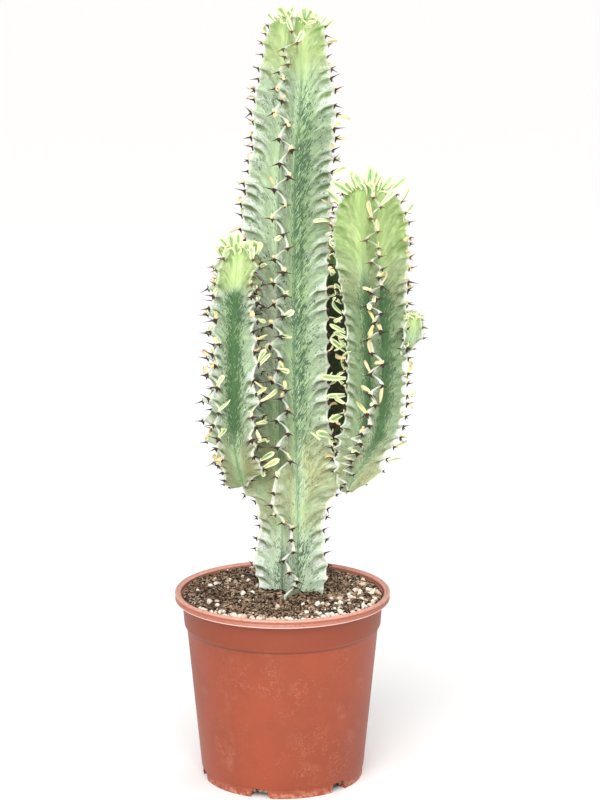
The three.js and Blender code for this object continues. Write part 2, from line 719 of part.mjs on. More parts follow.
// A small faceted stone with its lower half in the soil.
function pumiceGrain(i) {
  const r = 38 + 54 * Math.sqrt(chance(i, 1));
  const azimuth = 360 * chance(i, 2);
  const size = 2.2 + 1.9 * chance(i, 3);
  const stone = new THREE.OctahedronGeometry(size, 0);
  stone.rotateX(0.5);
  stone.scale(1.1, 1, 0.8);
  stone.rotateZ(radians(360 * chance(i, 4)));
  const place = polar(Math.min(r, 91), azimuth, SOIL_LEVEL + soilHeight(r, azimuth) + 0.2);
  stone.translate(place.x, place.y, place.z);
  return fromGeometry(stone);
}

function buildSoil(stemHole) {
  const wall = potInside(GAP).slice(0, -1);
  const [edge] = wall.at(-1);
  const surface = [edge - 0.1, 86, 74, 62, 50, 36].map((r) => [r, SOIL_LEVEL]);
  const lift = (r, azimuth, z) => (z === SOIL_LEVEL ? soilHeight(r, azimuth) : 0);
  let soil = revolve([...wall, ...surface, [0, SOIL_LEVEL]], lift);
  for (let i = 0; i < GRAIN_COUNT; i += 1) soil = soil.add(pumiceGrain(i));
  const clearance = WALL + GAP;
  const humps = archBars(clearance, NOTCH_HEIGHT + clearance, ARCH_START - clearance,
    FOOT_OUTER + 6);
  for (const hump of humps) soil = soil.subtract(hump);
  return largestBody(soil.subtract(stemHole));
}

// ---- the whole object ----

const plant = new THREE.Group();

function addPiece(name, manifold, colour, roughness) {
  const material = new THREE.MeshStandardMaterial({ color: colour, roughness, metalness: 0 });
  const mesh = new THREE.Mesh(toGeometry(manifold), material);
  mesh.name = name;
  plant.add(mesh);
}

const main = prepare(MAIN);
const left = prepare(LEFT);
const right = prepare(RIGHT);
const rear = prepare(REAR);
const pup = prepare(PUP);
const stems = [main, left, right, rear, pup];

const grownMain = ribbedBody(main, STEM_GAP);
const grownRight = ribbedBody(right, STEM_GAP);

addPiece('pot', buildPot(), 0xb95f41, 0.55);
addPiece('soil', buildSoil(grownMain), 0x4d4036, 0.95);
addPiece(main.name, leafyStem(main, stems, MAIN_LEAVES, null), 0x9dba98, 0.6);
addPiece(left.name, leafyStem(left, stems, LEFT_LEAVES, grownMain), 0xa9c29a, 0.6);
addPiece(right.name, leafyStem(right, stems, RIGHT_LEAVES, grownMain), 0xaec887, 0.6);
addPiece(rear.name, leafyStem(rear, stems, [], grownMain), 0x8fae84, 0.6);
addPiece(pup.name, leafyStem(pup, stems, [], grownRight), 0xbfd2a0, 0.6);

export default plant;
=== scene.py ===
# A variegated euphorbia in a nursery pot: the pot, the soil and the ribbed stems with their
# spines and leaves. Metres in the scene, millimetres in the numbers that describe the plant.

import json
import math

import bpy
import numpy as np
from mathutils import Matrix, Vector

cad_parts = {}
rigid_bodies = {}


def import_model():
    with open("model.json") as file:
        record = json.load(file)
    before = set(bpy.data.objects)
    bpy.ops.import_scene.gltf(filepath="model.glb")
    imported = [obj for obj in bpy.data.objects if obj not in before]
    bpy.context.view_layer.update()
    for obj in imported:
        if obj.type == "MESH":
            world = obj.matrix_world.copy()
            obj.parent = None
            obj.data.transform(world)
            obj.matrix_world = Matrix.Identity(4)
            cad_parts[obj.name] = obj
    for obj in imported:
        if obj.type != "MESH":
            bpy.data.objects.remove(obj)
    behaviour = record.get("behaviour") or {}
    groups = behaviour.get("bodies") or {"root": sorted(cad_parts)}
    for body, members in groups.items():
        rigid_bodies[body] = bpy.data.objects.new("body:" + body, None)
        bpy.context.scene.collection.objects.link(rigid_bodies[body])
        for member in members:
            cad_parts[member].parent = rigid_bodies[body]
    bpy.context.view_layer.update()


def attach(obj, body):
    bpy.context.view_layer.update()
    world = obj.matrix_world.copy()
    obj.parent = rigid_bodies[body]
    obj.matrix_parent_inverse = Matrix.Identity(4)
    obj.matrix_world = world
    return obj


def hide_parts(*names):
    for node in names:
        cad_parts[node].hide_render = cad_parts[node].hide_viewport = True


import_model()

bl_info = {
    "name": "Potted Euphorbia",
    "version": (1, 0, 0),
    "blender": (4, 5, 0),
    "location": "View3D > Sidebar > Euphorbia",
    "description": "Builds a variegated ribbed euphorbia in a nursery pot",
    "category": "Add Mesh",
}

MM = 0.001
UP = np.array((0.0, 0.0, 1.0))
BODY = "root"

# ---- the pot's sizes, in millimetres ----

POT_HEIGHT = 186
RIM_RADIUS = 105
LIP_HEIGHT = 7
LIP_FOOT = POT_HEIGHT - LIP_HEIGHT
LIP_WIDTH = 5.6
WALL = 1.5
BAND_TOP_RADIUS = 97.6
BAND_FOOT = (96, 154.4)
STEP = (93.4, 150)
WALL_FOOT = (80, 9.8)
FOOT_OUTER = 79
FOOT_INNER = 64
FLOOR_RECESS = 3.5
PAD_RADIUS = 20
NOTCH_COUNT = 6
FIRST_NOTCH = -106  # degrees
NOTCH_HEIGHT = 9.3
NOTCH_TOP_WIDTH = 14
NOTCH_FOOT_WIDTH = 21
NOTCH_DEPTH = 6  # how far the arches run in past the feet
MOULD_SEAM = -49.5  # degrees

# ---- the soil's sizes, in millimetres ----

SOIL_LEVEL = 184.4
SOIL_MOUND = 3
SOIL_FLOOR = 5.4
SOIL_RADIUS = 97  # as far out as anything lies loose on it
SOIL_SIDES = 300
SOIL_RINGS = 92
SOIL_SEED = 11
STONE_KINDS = 5
STONE_SEED = 40
STEM_OFFSET = 8  # the main stem stands to the right of the pot's middle
STEM_CLEARANCE = 34  # little lies loose closer to the stem's axis

# ---- the stems: [height, value] points, joined by smooth curves ----

SHIELD_SPACING = 10.8
RIB_SWING = 5.6
RIB_SCALLOP = 2.2
VALLEY_RADIUS = 11
SPINE_LENGTH = 7.8
FULL_RADIUS = 38  # where the relief of the ribs has its full size
SHIELD_RADIUS = 24  # where the shields have their full size

MAIN = {
    "name": "main_stem", "slot": "stem_skin",
    "foot": 138, "first": 199, "last": 733, "top": 739, "facing": 259,
    "x": [(138, 8), (256, 9), (396, 6.2), (556, 5.8), (616, 8), (646, 10.8), (676, 12.3),
          (715, 12.7), (739, 14.4)],
    "y": [(138, 0), (739, 0)],
    "radius": [(138, 20), (156, 29), (191, 32.5), (202, 35.5), (218, 34), (236, 31.5),
               (258, 31.5), (276, 34), (296, 37), (396, 38.5), (476, 38.5), (571, 41),
               (616, 40.3), (646, 39.3), (664, 38), (701, 31.5), (721, 28.8), (733, 25.5),
               (739, 20)],
    "swells": [(1, 300, 13, 15), (1, 342, 2.5, 12), (3, 291, 13.5, 10), (3, 552, 4, 14),
               (3, 620, -4, 15), (3, 222, 3, 12)],
    # Painted light and shade on single flanks, as (flank, low, high, size): a positive size
    # lightens the strip beside the left branch, which that branch shades; a negative one darkens a
    # recess, the shaded hollow behind the leaves and the right flank, away from the key light.
    "painted_light_and_shade": [(0, 385, 530, 1), (7, 395, 480, 1), (7, 480, 720, 0.3), (0, 530, 700, 0.3),
               (7, 300, 320, -0.9), (7, 260, 298, -0.2), (7, 325, 372, -0.45),
               (0, 310, 365, -0.3), (2, 330, 500, -0.15), (2, 525, 650, -0.4)],
    "mottled": [(138, 1), (225, 0.9), (256, 0)],
    "crests": {0: [
        (200, 11), (206, 13), (214, 4.5), (225, -1.5), (234, 8.5), (246, 6), (257, 7), (263, -2),
        (271, -9.5), (280, -12.5), (293, -10), (310, -6), (325, 8), (338, -4.5), (352, 6.5),
        (364, -4.5), (374, 7), (386, 0), (394, 5), (402, -8), (413, -2), (425, -1), (436, -10),
        (446, 1), (456, -8.5), (465, 3), (476, -6), (485, 5), (496, -6), (507, 3.5), (519, -5),
        (530, 8), (543, 3.5), (558, -7), (571, 5.5), (585, -5.5), (597, 8), (609, -1.5), (622, 9),
        (632, -4.5), (646, 2), (656, -11.5), (667, -4.5), (678, -10.5), (687, -4), (693, -9),
        (700, -0.5), (707, -3.5), (714, -5.5), (720, 7.5), (730, 1)]},
    "young": (676, 712), "crown": (12, 13, 5.5), "banded": (0.25, 0.1, 1, 0.3, 0.5, 0.5, 0.3, 0.3),
    "shade": [(138, -0.6), (236, -0.6), (260, 0), (400, -0.05), (520, 0), (630, 0.1), (690, 0.1),
              (722, 0.1), (739, 0.8)],
    "stripe": [(138, 0.68), (238, 0.66), (256, 0.3), (300, 0.35), (350, 0.7), (400, 0.86),
               (560, 0.9), (640, 0.85), (672, 0.6), (700, 0.1), (739, 0)],
    "olive": [(138, 0), (240, 0.1), (256, 0.6), (285, 0.7), (315, 0.85), (350, 0.25), (380, 0.1),
              (650, 0.1), (739, 0.1)],
}
LEFT = {
    "name": "left_branch", "slot": "stem_skin",
    "foot": 291, "first": 298, "last": 524, "top": 529, "facing": 225,
    "x": [(291, -37), (300, -39), (312, -41.5), (330, -44.5), (346, -45.5), (476, -44.6),
          (529, -40)],
    "y": [(291, 2), (306, -4), (326, -17), (346, -26), (376, -32), (529, -32)],
    "radius": [(291, 5), (297, 10), (303, 17), (309, 24), (316, 27.5), (330, 28), (341, 30),
               (396, 30), (436, 29.5), (474, 29), (501, 28), (516, 24.5), (525, 20), (529, 14)],
    "swells": [(0, 297, 16, 8), (1, 314, 4.5, 6), (3, 297, 16, 8), (3, 366, 6, 22)],
    "crests": {
        0: [(291.5, 0), (294, 4), (298, 3), (304, 8), (313, 8.5), (320, 4), (328, 11), (340, 7),
            (351, 11), (364, 4.5), (377, 12), (389, -2), (401, 10), (412, -3.5), (422, 7),
            (432, 3), (443, 12), (453, 0), (465, 6), (475, -3), (487, 2), (499, 2), (511, 0),
            (522, 4)],
        1: [(299, 0), (309, 3), (316, 2), (323, 3), (330, -4), (341, 1), (349, -7.5),
            (361, -1.5), (372, -6), (384, 5), (394, -0.5), (407, -3.5), (422, 3), (434, -2),
            (444, 2.5), (454, -4.5), (463, 1.5), (472, -7), (480, 0.5), (487, -8), (493, -1),
            (499, -8), (506, -6), (513, 3), (521, -4)]},
    "young": (486, 501), "crown": (12, 12, 5.5), "banded": (0.5, 0.9, 1, 0.4, 0.5, 0.5, 0.5, 0.5),
    "shade": [(291, 0.1), (330, 0.15), (420, 0.25), (490, 0.2), (500, 0.05), (515, 0.1),
              (529, 0.7)],
    "stripe": [(291, 0), (325, 0.15), (345, 0.7), (360, 1), (485, 1), (494, 0.5), (502, 0),
               (529, 0)],
    "olive": [(291, 1), (318, 0.9), (345, 0.45), (370, 0.15), (529, 0.1)],
}
RIGHT = {
    "name": "right_branch", "slot": "stem_skin",
    "foot": 288, "first": 296, "last": 579, "top": 585, "facing": 268,
    "x": [(288, 62), (297, 63), (309, 67), (321, 73), (336, 80), (356, 86), (376, 88.5),
          (446, 89), (516, 84.5), (585, 82)],
    "y": [(288, -12), (301, -14), (326, -21), (356, -26), (585, -27)],
    "radius": [(288, 5), (292, 8), (300, 12), (310, 16), (320, 20), (330, 23.5), (340, 26),
               (351, 27), (446, 28.5), (486, 31), (521, 35), (551, 35), (568, 30), (579, 24),
               (585, 16)],
    "swells": [(0, 300, 8, 14), (1, 306, 13, 9), (3, 342, 3.5, 14)],
    "lobes": [(3, 308, 352, 4), (1, 300, 420, 2.2)],
    "sways": [(0, 308, 350, -10)],
    "crests": {0: [
        (293, 1), (302, -4), (312, 0), (321, -7), (327, -9.5), (335, -7.5), (345, -8), (355, -10),
        (363, -4), (374, -7.5), (383, 0), (393, -5.5), (402, 6.5), (413, -5.5), (422, 6.5),
        (433, -4), (446, -7), (454, 5.5), (462, -1), (471, 6), (478, -6), (485, 3), (491, -2.5),
        (497, 9), (506, 6.5), (514, 10), (520, 0), (526, 8), (534, 7.5), (541, -4), (549, 7),
        (561, 1), (571, 10.5), (579, 3.5)]},
    "young": (488, 540), "crown": (12, 17, 5.5), "banded": (1, 1, 1, 0.5, 0.5, 0.5, 0.5, 0.7),
    "shade": [(288, 0.1), (330, 0.3), (350, 0.5), (380, 0.65), (420, 0.85), (480, 0.95),
              (492, 0.8), (502, 0.6), (515, 0.45), (560, 0.42), (585, 0.9)],
    "stripe": [(288, 0.3), (320, 0.7), (360, 1), (480, 1.1), (496, 0.7), (508, 0.2),
               (520, 0.05), (550, 0.1), (575, 0.3), (585, 0.3)],
    "olive": [(288, 0.9), (318, 0.8), (345, 0.3), (380, 0.2), (470, 0.25), (492, 0.55),
              (515, 0.4), (585, 0.1)],
}
REAR = {
    "name": "rear_branch", "slot": "shaded_stem_skin",
    "foot": 300, "first": 308, "last": 514, "top": 519, "facing": 222,
    "x": [(300, 24), (316, 33), (336, 44), (366, 50), (446, 51), (519, 49)],
    "y": [(300, 14), (316, 22), (336, 33), (366, 38), (519, 38)],
    "radius": [(300, 6), (308, 14), (322, 20), (346, 23), (396, 24.5), (476, 25), (501, 23),
               (512, 18), (519, 11)],
    "swells": [], "crests": {},
    "young": (485, 510), "crown": (10, 12, 4.6), "banded": (1,) * 8,
    # Shade above 1 paints the deep shadow of the gap, between the main stem and the right branch,
    # onto this branch's skin.
    "shade": [(300, 1.7), (460, 1.7), (500, 1), (519, 0.7)],
    "stripe": [(300, 1), (490, 1), (519, 0.4)],
    "olive": [(300, 0.3), (519, 0.3)],
}
PUP = {
    "name": "right_pup", "slot": "young_stem_skin",
    "foot": 426, "first": 433, "last": 461, "top": 466, "facing": 225,
    "x": [(426, 115), (434, 119), (446, 123.5), (466, 124.5)],
    "y": [(426, -27), (466, -27)],
    "radius": [(426, 4), (432, 8.5), (444, 13), (455, 13), (462, 9.5), (466, 6)],
    "swells": [], "crests": {},
    "young": (440, 462), "crown": (14, 1, 5), "banded": (1,) * 8,
    "shade": [(426, 0.5), (440, 0.3), (466, 0.1)],
    "stripe": [(426, 0.5), (466, 0.2)],
    "olive": [(426, 0.2), (466, 0.1)],
}

# Leaves that catch the eye: the height of their shield, its rib, the way from their foot to their
# tip in millimetres, their width and how dried they are.
CHOSEN_LEAVES = {
    "main_stem": [
        (730, 0, (-5, -3, 10), 6, 0), (720, 0, (5, -3, 9), 6.5, 0), (729, 1, (7, -3, 10), 3.5, 0),
        (718, 1, (9, -3, 2), 3, 0.5), (648, 1, (12, -3, 2), 3, 0.7), (640, 1, (6, -2, 5), 3, 0.9),
        (626, 1, (11, -3, 5), 4, 0.6), (605, 1, (10, -3, 7), 3.5, 0.5),
        (595, 1, (13, -4, 9), 3.5, 0.3), (565, 1, (-10, -6, 7), 3.5, 0.2),
        (550, 1, (-12, -7, 7), 4.5, 0), (542, 0, (-6, -4, -5), 4.5, 0),
        (589, 0, (-4, -3, 8), 2.5, 1), (626, 0, (-3, -2, -6), 3.5, 1),
        (487, 0, (9, -4, 1), 4, 0.2), (464, 0, (9, -4, 5), 5.5, 0.1), (445, 0, (9, -4, 2), 5, 0.1),
        (413, 0, (10, -4, -1), 5, 0.2), (506, 0, (2, -3, 5), 3.5, 0.6),
        (543, 3, (-11, -2, -3), 3.5, 0.9), (328, 1, (-22, -7, 20), 7.5, 0),
        (438, 0, (-8, -3, -6), 3.5, 0.4), (421, 0, (7, -3, -6), 3.5, 0.6),
    ],
    "left_branch": [
        (379, 0, (10, -4, 10), 4.5, 0), (352, 0, (16, -5, 17), 4.5, 0.1),
        (402, 0, (4, -3, 10), 4.5, 0.2), (466, 0, (1, -2, 8), 3.5, 0.8),
        (442, 0, (-5, -2, 6), 3.5, 0.7), (512, 1, (8, -3, 7), 3.5, 0),
        (521, 1, (-1, -3, 11), 6.5, 0), (464, 1, (11, -4, -3), 3.5, 0.2),
        (423, 1, (5, -4, 13), 5.5, 0), (419, 1, (10, -4, 13), 3.5, 0.2),
        (385, 1, (21, -5, 11), 4, 0.3), (364, 1, (18, -5, 4), 4.5, 0.3),
        (344, 1, (17, -5, 10), 4, 0.3), (324, 1, (10, -4, 9), 5.5, 0),
        (316, 1, (14, -5, 9), 5.5, 0.4), (445, 1, (8, -3, 4), 3.5, 0.6),
        (406, 1, (9, -4, -4), 3.5, 0.5), (392, 1, (8, -4, 8), 3.5, 0.4),
        (359, 1, (4, -3, -10), 3.5, 0.4),
    ],
    "right_branch": [
        (465, 3, (-27, -6, 18), 5, 0), (473, 3, (-11, -5, 9), 3.5, 0.3),
        (443, 3, (-26, -6, 18), 5, 0), (463, 3, (-13, -5, -2), 3.5, 0.2),
        (447, 3, (-12, -5, 9), 5, 0.1), (427, 3, (-15, -5, 15), 5.5, 0),
        (430, 3, (-5, -4, 11), 5, 0.1), (408, 3, (-16, -4, 11), 5, 0.2),
        (395, 3, (-14, -4, 13), 4, 0.1), (403, 3, (-27, -6, 1), 6, 0.1),
        (385, 3, (-26, -7, 2), 5, 0.1), (378, 3, (-24, -5, 5), 4.5, 0.3),
        (366, 3, (-16, -6, -5), 6.5, 0), (342, 3, (-17, -6, 10), 6.5, 0),
        (384, 3, (-13, -5, 7), 4, 0.1), (490, 3, (-9, -5, 7), 4.5, 0.1),
        (481, 3, (-12, -5, 9), 4, 0.2), (423, 3, (-20, -5, 5), 4, 0.8),
        (409, 3, (-12, -5, -7), 3.5, 0.2), (435, 3, (-10, -5, -6), 3.5, 0.2),
        (449, 3, (-16, -5, -3), 3.5, 0.2), (504, 3, (-5, -4, 5), 4, 0.4),
        (374, 0, (-14, -4, 10), 5, 0.6), (463, 0, (-4, -2, 14), 3.5, 0.9),
        (461, 0, (-5, -2, -12), 3.5, 0.8), (431, 0, (-6, -2, 15), 4, 0.8),
        (454, 0, (-3, -2, 6), 3.5, 0.7), (423, 0, (-7, -3, 2), 3.5, 0.8),
        (396, 0, (-7, -3, 4), 4, 0.6), (402, 0, (-3, -2, -18), 4, 0.9),
        (414, 0, (-5, -3, 11), 3, 0.7), (572, 0, (11, -5, 15), 5, 0),
        (563, 0, (-3, -4, 13), 5, 0.5), (550, 0, (0, -3, 9), 4.5, 0.5),
        (532, 0, (0, -3, 7), 3.5, 0.9), (500, 0, (8, -4, 13), 3, 0.6),
        (505, 0, (4, -3, 5), 3, 0.8), (493, 0, (-6, -3, 2), 3, 0.7), (559, 1, (8, -3, 14), 4, 0),
        (570, 1, (10, -3, 12), 3.5, 0.1), (550, 1, (-9, -3, 6), 3.5, 0.6),
        (540, 1, (-7, -3, -5), 3, 1), (385, 1, (7, -2, 6), 3.5, 0.6),
        (333, 1, (18, -2, 7), 3.5, 0.3), (320, 1, (18, -2, 9), 3.5, 0.2),
        (419, 1, (5, -2, -6), 3.5, 0.8),
    ],
}

# Leaves round a growing point: their foot from it, the way to their tip, and their width.
CROWN_LEAVES = {
    "main_stem": [
        ((-11, -6, 5), (-6, -4, 12), 4.5), ((-7, -6, 3), (1, -4, 13), 3),
        ((-1, -6, -4), (0, -4, 13), 6.5), ((7, -6, 3), (-1, -4, 11), 6.5),
        ((9, -6, 3), (5, -4, 9), 5), ((5, -6, -5), (6, -4, 7), 7.5),
        ((16, -6, -1), (3, -4, 10), 3), ((22, -6, -3), (6, -4, 9), 3),
        ((-21, -6, 0), (-8, -4, 10), 3), ((-29, -6, -9), (-4, -4, 7), 3),
        ((-5, -6, 4), (-5, -4, 7), 3.5), ((3, -6, 0), (-1, -4, 7), 4.5),
    ],
    "left_branch": [
        ((-10, -6, 2), (-8, -4, 12), 4.5), ((-6, -6, -1), (-1, -4, 18), 6.5),
        ((-1, -6, 3), (1, -4, 15), 6), ((4, -6, -2), (5, -4, 11), 6),
        ((14, -6, -3), (3, -4, 14), 6.5), ((17, -6, -3), (4, -4, 13), 4),
        ((-16, -6, -5), (-6, -4, 10), 3.5), ((-13, -6, -9), (1, -4, 10), 4.5),
        ((7, -6, -4), (5, -4, 10), 5), ((-3, -6, -4), (5, -4, 8), 4.5),
        ((-8, -6, -3), (-4, -4, 9), 4.5),
    ],
    "right_branch": [
        ((-20, -6, -3), (-15, -4, 14), 6), ((-27, -6, -12), (-14, -4, 13), 6),
        ((-13, -6, 2), (-6, -4, 18), 5), ((-6, -6, 1), (-9, -4, 18), 5.5),
        ((-3, -6, 3), (-5, -4, 8), 4.5), ((-1, -6, 2), (2, -4, 23), 7),
        ((1, -6, -9), (0, -4, 19), 5), ((4, -6, 4), (4, -4, 16), 4),
        ((12, -6, 2), (10, -4, 12), 6), ((21, -6, 1), (14, -4, 13), 4),
        ((8, -6, -1), (5, -4, 10), 3.5), ((-16, -6, -1), (-9, -4, 10), 4.5),
    ],
}

# Where the smaller leaves grow: ribs, heights, share of the shields that carry one, lengths,
# width, bend in radians and how many are dried.
SMALL_LEAVES = {
    "main_stem": [
        ((0,), (430, 690), 0.55, (4, 8), 3.4, (1.5, 3.6), 0.8),
        ((0,), (320, 430), 0.6, (6, 11), 4, (0.8, 2.6), 0.5),
        ((0,), (225, 320), 0.3, (3, 6), 3.2, (0.5, 2.0), 0.3),
        ((2, 3), (320, 700), 0.6, (5, 10), 3.4, (1.5, 4.2), 0.8),
        ((1,), (610, 700), 0.6, (5, 9), 3.4, (1.5, 4.0), 0.7),
        ((1,), (320, 610), 0.6, (7, 13), 4.6, (0.4, 2.2), 0.4),
    ],
    "left_branch": [
        ((0, 3), (305, 500), 0.8, (6, 11), 4, (1.5, 4.2), 0.5),
        ((1, 2), (305, 490), 0.6, (6, 13), 4.2, (1.0, 4.0), 0.4),
    ],
    "right_branch": [
        ((0,), (330, 500), 0.6, (5, 10), 3.8, (1.0, 3.2), 0.6),
        ((3,), (320, 560), 0.9, (6, 13), 4.2, (0.8, 3.0), 0.3),
        ((1, 2), (330, 560), 0.85, (5, 10), 3.6, (1.5, 4.5), 0.7),
    ],
    "rear_branch": [((0, 1, 2, 3), (320, 505), 0.85, (6, 13), 4.0, (1.0, 3.6), 0.35)],
}

RIBS = 4
FLANKS = 2 * RIBS
FLANK = (0, 0.05, 0.11, 0.18, 0.26, 0.35, 0.44, 0.53, 0.62, 0.7, 0.78, 0.85, 0.91, 0.955, 0.985, 1)
RING_STEP = 1.2  # millimetres between the rings of a stem's mesh
FOLD_LAG = 33  # how far a fold of a rib runs down from its edge to the valley
CREST_HALF = 1.05  # half of a rib's thickness along its edge
WEB_HALF = 3.9  # half of a rib's thickness where it leaves the valley
PLEAT = 1.9  # how far the folds of a flank stand out
CROWN_RISE = 2.2  # how far the closed top bulges above the last ring
CROWN_DEPTH = 6  # the crown's leaves are rooted this far below a stem's top
GOLDEN_ANGLE = 137.5  # degrees from one leaf of a crown to the next
STRAIGHT = 0.02  # a leaf is bent by at least this much, in radians
KNOB_SEED = 77

# ---- the camera's place, in metres and degrees, and its lens in millimetres ----

CAMERA_SIDE = 0.0171
CAMERA_HEIGHT = 0.906
CAMERA_TILT = 12.2
LENS = 117.3
SENSOR = 36
AIM_HEIGHT = 0.4  # the height that the lamps point at


# ---- numbers and curves ----

def linear(hex_colour):
    """A hex colour of the screen as the linear colour that a material's sockets hold."""
    parts = [(hex_colour >> shift & 255) / 255 for shift in (16, 8, 0)]
    return tuple(p / 12.92 if p <= 0.04045 else ((p + 0.055) / 1.055) ** 2.4 for p in parts)


def chance(*keys):
    """A repeatable number from 0 to 1 for a set of whole-number keys."""
    total = 0.5 + sum(key * step for key, step in zip(keys, (12.9898, 78.233, 37.719, 4.581)))
    wave = np.sin(total) * 43758.5453
    return wave - np.floor(wave)


def spread(*keys):
    """A repeatable number from -1 to 1."""
    return 2 * chance(*keys) - 1


def through(points):
    """A smooth curve through [at, value] points, level past both ends."""
    at, value = np.array(points, float).T
    rise = np.append(value[1:], value[-1]) - np.append(value[0], value[:-1])
    slope = rise / (np.append(at[1:], at[-1]) - np.append(at[0], at[:-1]))

    def curve(x):
        x = np.clip(x, at[0], at[-1])
        i = np.clip(np.searchsorted(at, x, side="right") - 1, 0, len(at) - 2)
        span = at[i + 1] - at[i]
        u = (x - at[i]) / span
        ease = u * u * (3 - 2 * u)
        return (value[i] * (1 - ease) + value[i + 1] * ease
                + u * (1 - u) ** 2 * span * slope[i] + u * u * (u - 1) * span * slope[i + 1])

    return curve


def smooth(low, high, x):
    """0 at low, 1 at high and an even curve between them, in either direction."""
    u = np.clip((x - low) / (high - low), 0, 1)
    return u * u * (3 - 2 * u)


def unit(vector):
    """A vector's direction, of length 1."""
    return vector / np.linalg.norm(vector)


def azimuth_way(degrees):
    """The level direction at an azimuth."""
    angle = np.radians(degrees)
    return np.array((np.cos(angle), np.sin(angle), 0.0))


def rolled(side, way, angle):
    """A direction turned about another one that is square to it."""
    return side * math.cos(angle) + np.cross(way, side) * math.sin(angle)


def window(entries, place, z, blend):
    """The sum of the sizes of a place's entries, each between two heights and blended out."""
    return sum((size * smooth(low - blend, low, z) * smooth(high + blend, high, z)
                for where, low, high, size in entries if where == place), 0.0)


class Ribbed:
    """A four-ribbed stem: its curves, its shields and its surface, in millimetres."""

    def __init__(self, spec):
        self.name, self.slot = spec["name"], spec["slot"]
        self.foot, self.top, self.facing = spec["foot"], spec["top"], spec["facing"]
        self.x, self.y, self.radius, self.shade, self.stripe, self.olive = (
            through(spec[key]) for key in ("x", "y", "radius", "shade", "stripe", "olive"))
        self.swells, self.crown, self.young = spec["swells"], spec["crown"], spec["young"]
        self.banded = spec["banded"]
        self.lobes, self.sways = spec.get("lobes", ()), spec.get("sways", ())
        self.painted_light_and_shade = spec.get("painted_light_and_shade", ())
        self.mottled = through(spec.get("mottled", [(0, 0), (1, 0)]))
        gaps = int((spec["last"] - spec["first"]) / SHIELD_SPACING + 0.5)
        self.spacing = (spec["last"] - spec["first"]) / gaps
        index = np.arange(gaps + 1)
        settled = np.minimum(np.minimum(index, gaps - index) / 2, 1)
        self.shield_z, self.shield_swing, self.fold_depth = [], [], []
        for rib in range(RIBS):
            if rib in spec["crests"]:
                z, swing = np.array(spec["crests"][rib], float).T
            else:
                stagger = 0.5 * (rib % 2) + 0.22 * spread(self.foot, rib, index)
                z = spec["first"] + (index + stagger * settled) * self.spacing
                swing = RIB_SWING * (0.75 + 0.5 * chance(self.foot, rib, index, 1))
                swing *= np.minimum(1, self.radius(z) / 30) * (0.3 + 0.7 * settled)
                swing *= np.where(index % 2, 1, -1)
            self.shield_z.append(z)
            self.shield_swing.append(swing)
            self.fold_depth.append(0.1 + 1.5 * chance(self.foot, rib, np.arange(len(z)), 31) ** 1.5)

    def centre(self, z):
        """The place of the stem's axis at a height."""
        z = np.asarray(z, float)
        return np.stack([self.x(z), self.y(z), z], -1)

    def outward(self, rib):
        return azimuth_way(self.facing + rib * 90.0)

    def sideways(self, rib):
        return azimuth_way(self.facing + rib * 90.0 + 90)

    def valley(self, z):
        """How far from the axis the valleys between the ribs are."""
        return np.minimum(VALLEY_RADIUS, 0.4 * self.radius(z))

    def shield_size(self, z):
        """1, or less where the stem is thin."""
        return min(1, self.radius(z) / SHIELD_RADIUS)

    def relief(self, z):
        """The size of the folds at a height, for how wide the stem is."""
        return np.clip(self.radius(z) / FULL_RADIUS, 0.3, 1.1)

    def phase(self, rib, z):
        """How many shields up a rib a height is, counted on evenly past the ends."""
        heights = self.shield_z[rib]
        inside = np.interp(z, heights, np.arange(len(heights)))
        below = np.minimum(z - heights[0], 0) / self.spacing
        above = np.maximum(z - heights[-1], 0) / self.spacing
        return inside + below + above

    def swing(self, rib, z):
        """How far a rib's edge leans to the side at a height. Going up from a shield, it stays
        there for a while and then turns towards the next."""
        phase = self.phase(rib, z)
        side = self.shield_swing[rib]
        low = np.clip(np.floor(phase), 0, len(side) - 2).astype(int)
        u = np.clip((phase - low - 0.1) / 0.9, 0, 1) ** 1.5
        fade = np.clip(1 + phase, 0, 1)
        loop = window(self.sways, rib, z, 6) * np.sin(np.pi * phase) ** 2
        return (side[low] * (1 - u) + side[low + 1] * u) * fade + loop

    def tooth(self, phase):
        """1 at a shield and 0 between two, steeper below a shield than above it."""
        u = phase - np.floor(phase)
        return np.exp(-(u / 0.2) ** 2) + np.exp(-((1 - u) / 0.12) ** 2)

    def reach(self, rib, z):
        """How far out a rib's edge is at a height."""
        swell = sum((size * np.exp(-0.5 * ((z - at) / width) ** 2)
                     for where, at, size, width in self.swells if where == rib), 0.0)
        phase = self.phase(rib, z)
        teeth = (self.tooth(phase) - 0.4) * smooth(-1.2, -0.2, phase)
        deep = RIB_SCALLOP + window(self.lobes, rib, z, 8)
        return self.radius(z) + swell + deep * teeth * np.minimum(1, self.radius(z) / 25)

    def nearest(self, rib, z):
        """The number of the shield that is nearest to a height."""
        return int(np.argmin(np.abs(self.shield_z[rib] - z)))

    def shield(self, rib, index):
        """A shield's height, its place on the rib's edge and its outward and sideways axes."""
        z = self.shield_z[rib][index]
        out, across = self.outward(rib), self.sideways(rib)
        place = self.centre(z) + self.reach(rib, z) * out + self.shield_swing[rib][index] * across
        return z, place, out, across

    def pleats(self, rib, side, phase, t):
        """How far a flank's folds stand out: each swells down from a shield and ends in a crease
        above the next."""
        index = np.arange(len(self.shield_z[rib]))
        u = phase - np.floor(phase)
        ridge = 1 - smooth(0, 0.8, u) + smooth(0.84, 1, u)
        depth = np.interp(phase, index, self.fold_depth[rib])
        lean = np.interp(phase, index, self.shield_swing[rib]) / RIB_SWING
        depth = depth * (1 + 0.4 * np.clip(side * lean, -1, 1))
        return PLEAT * (ridge - 0.45) * depth * t ** 2.6 * (1 - t ** 8)

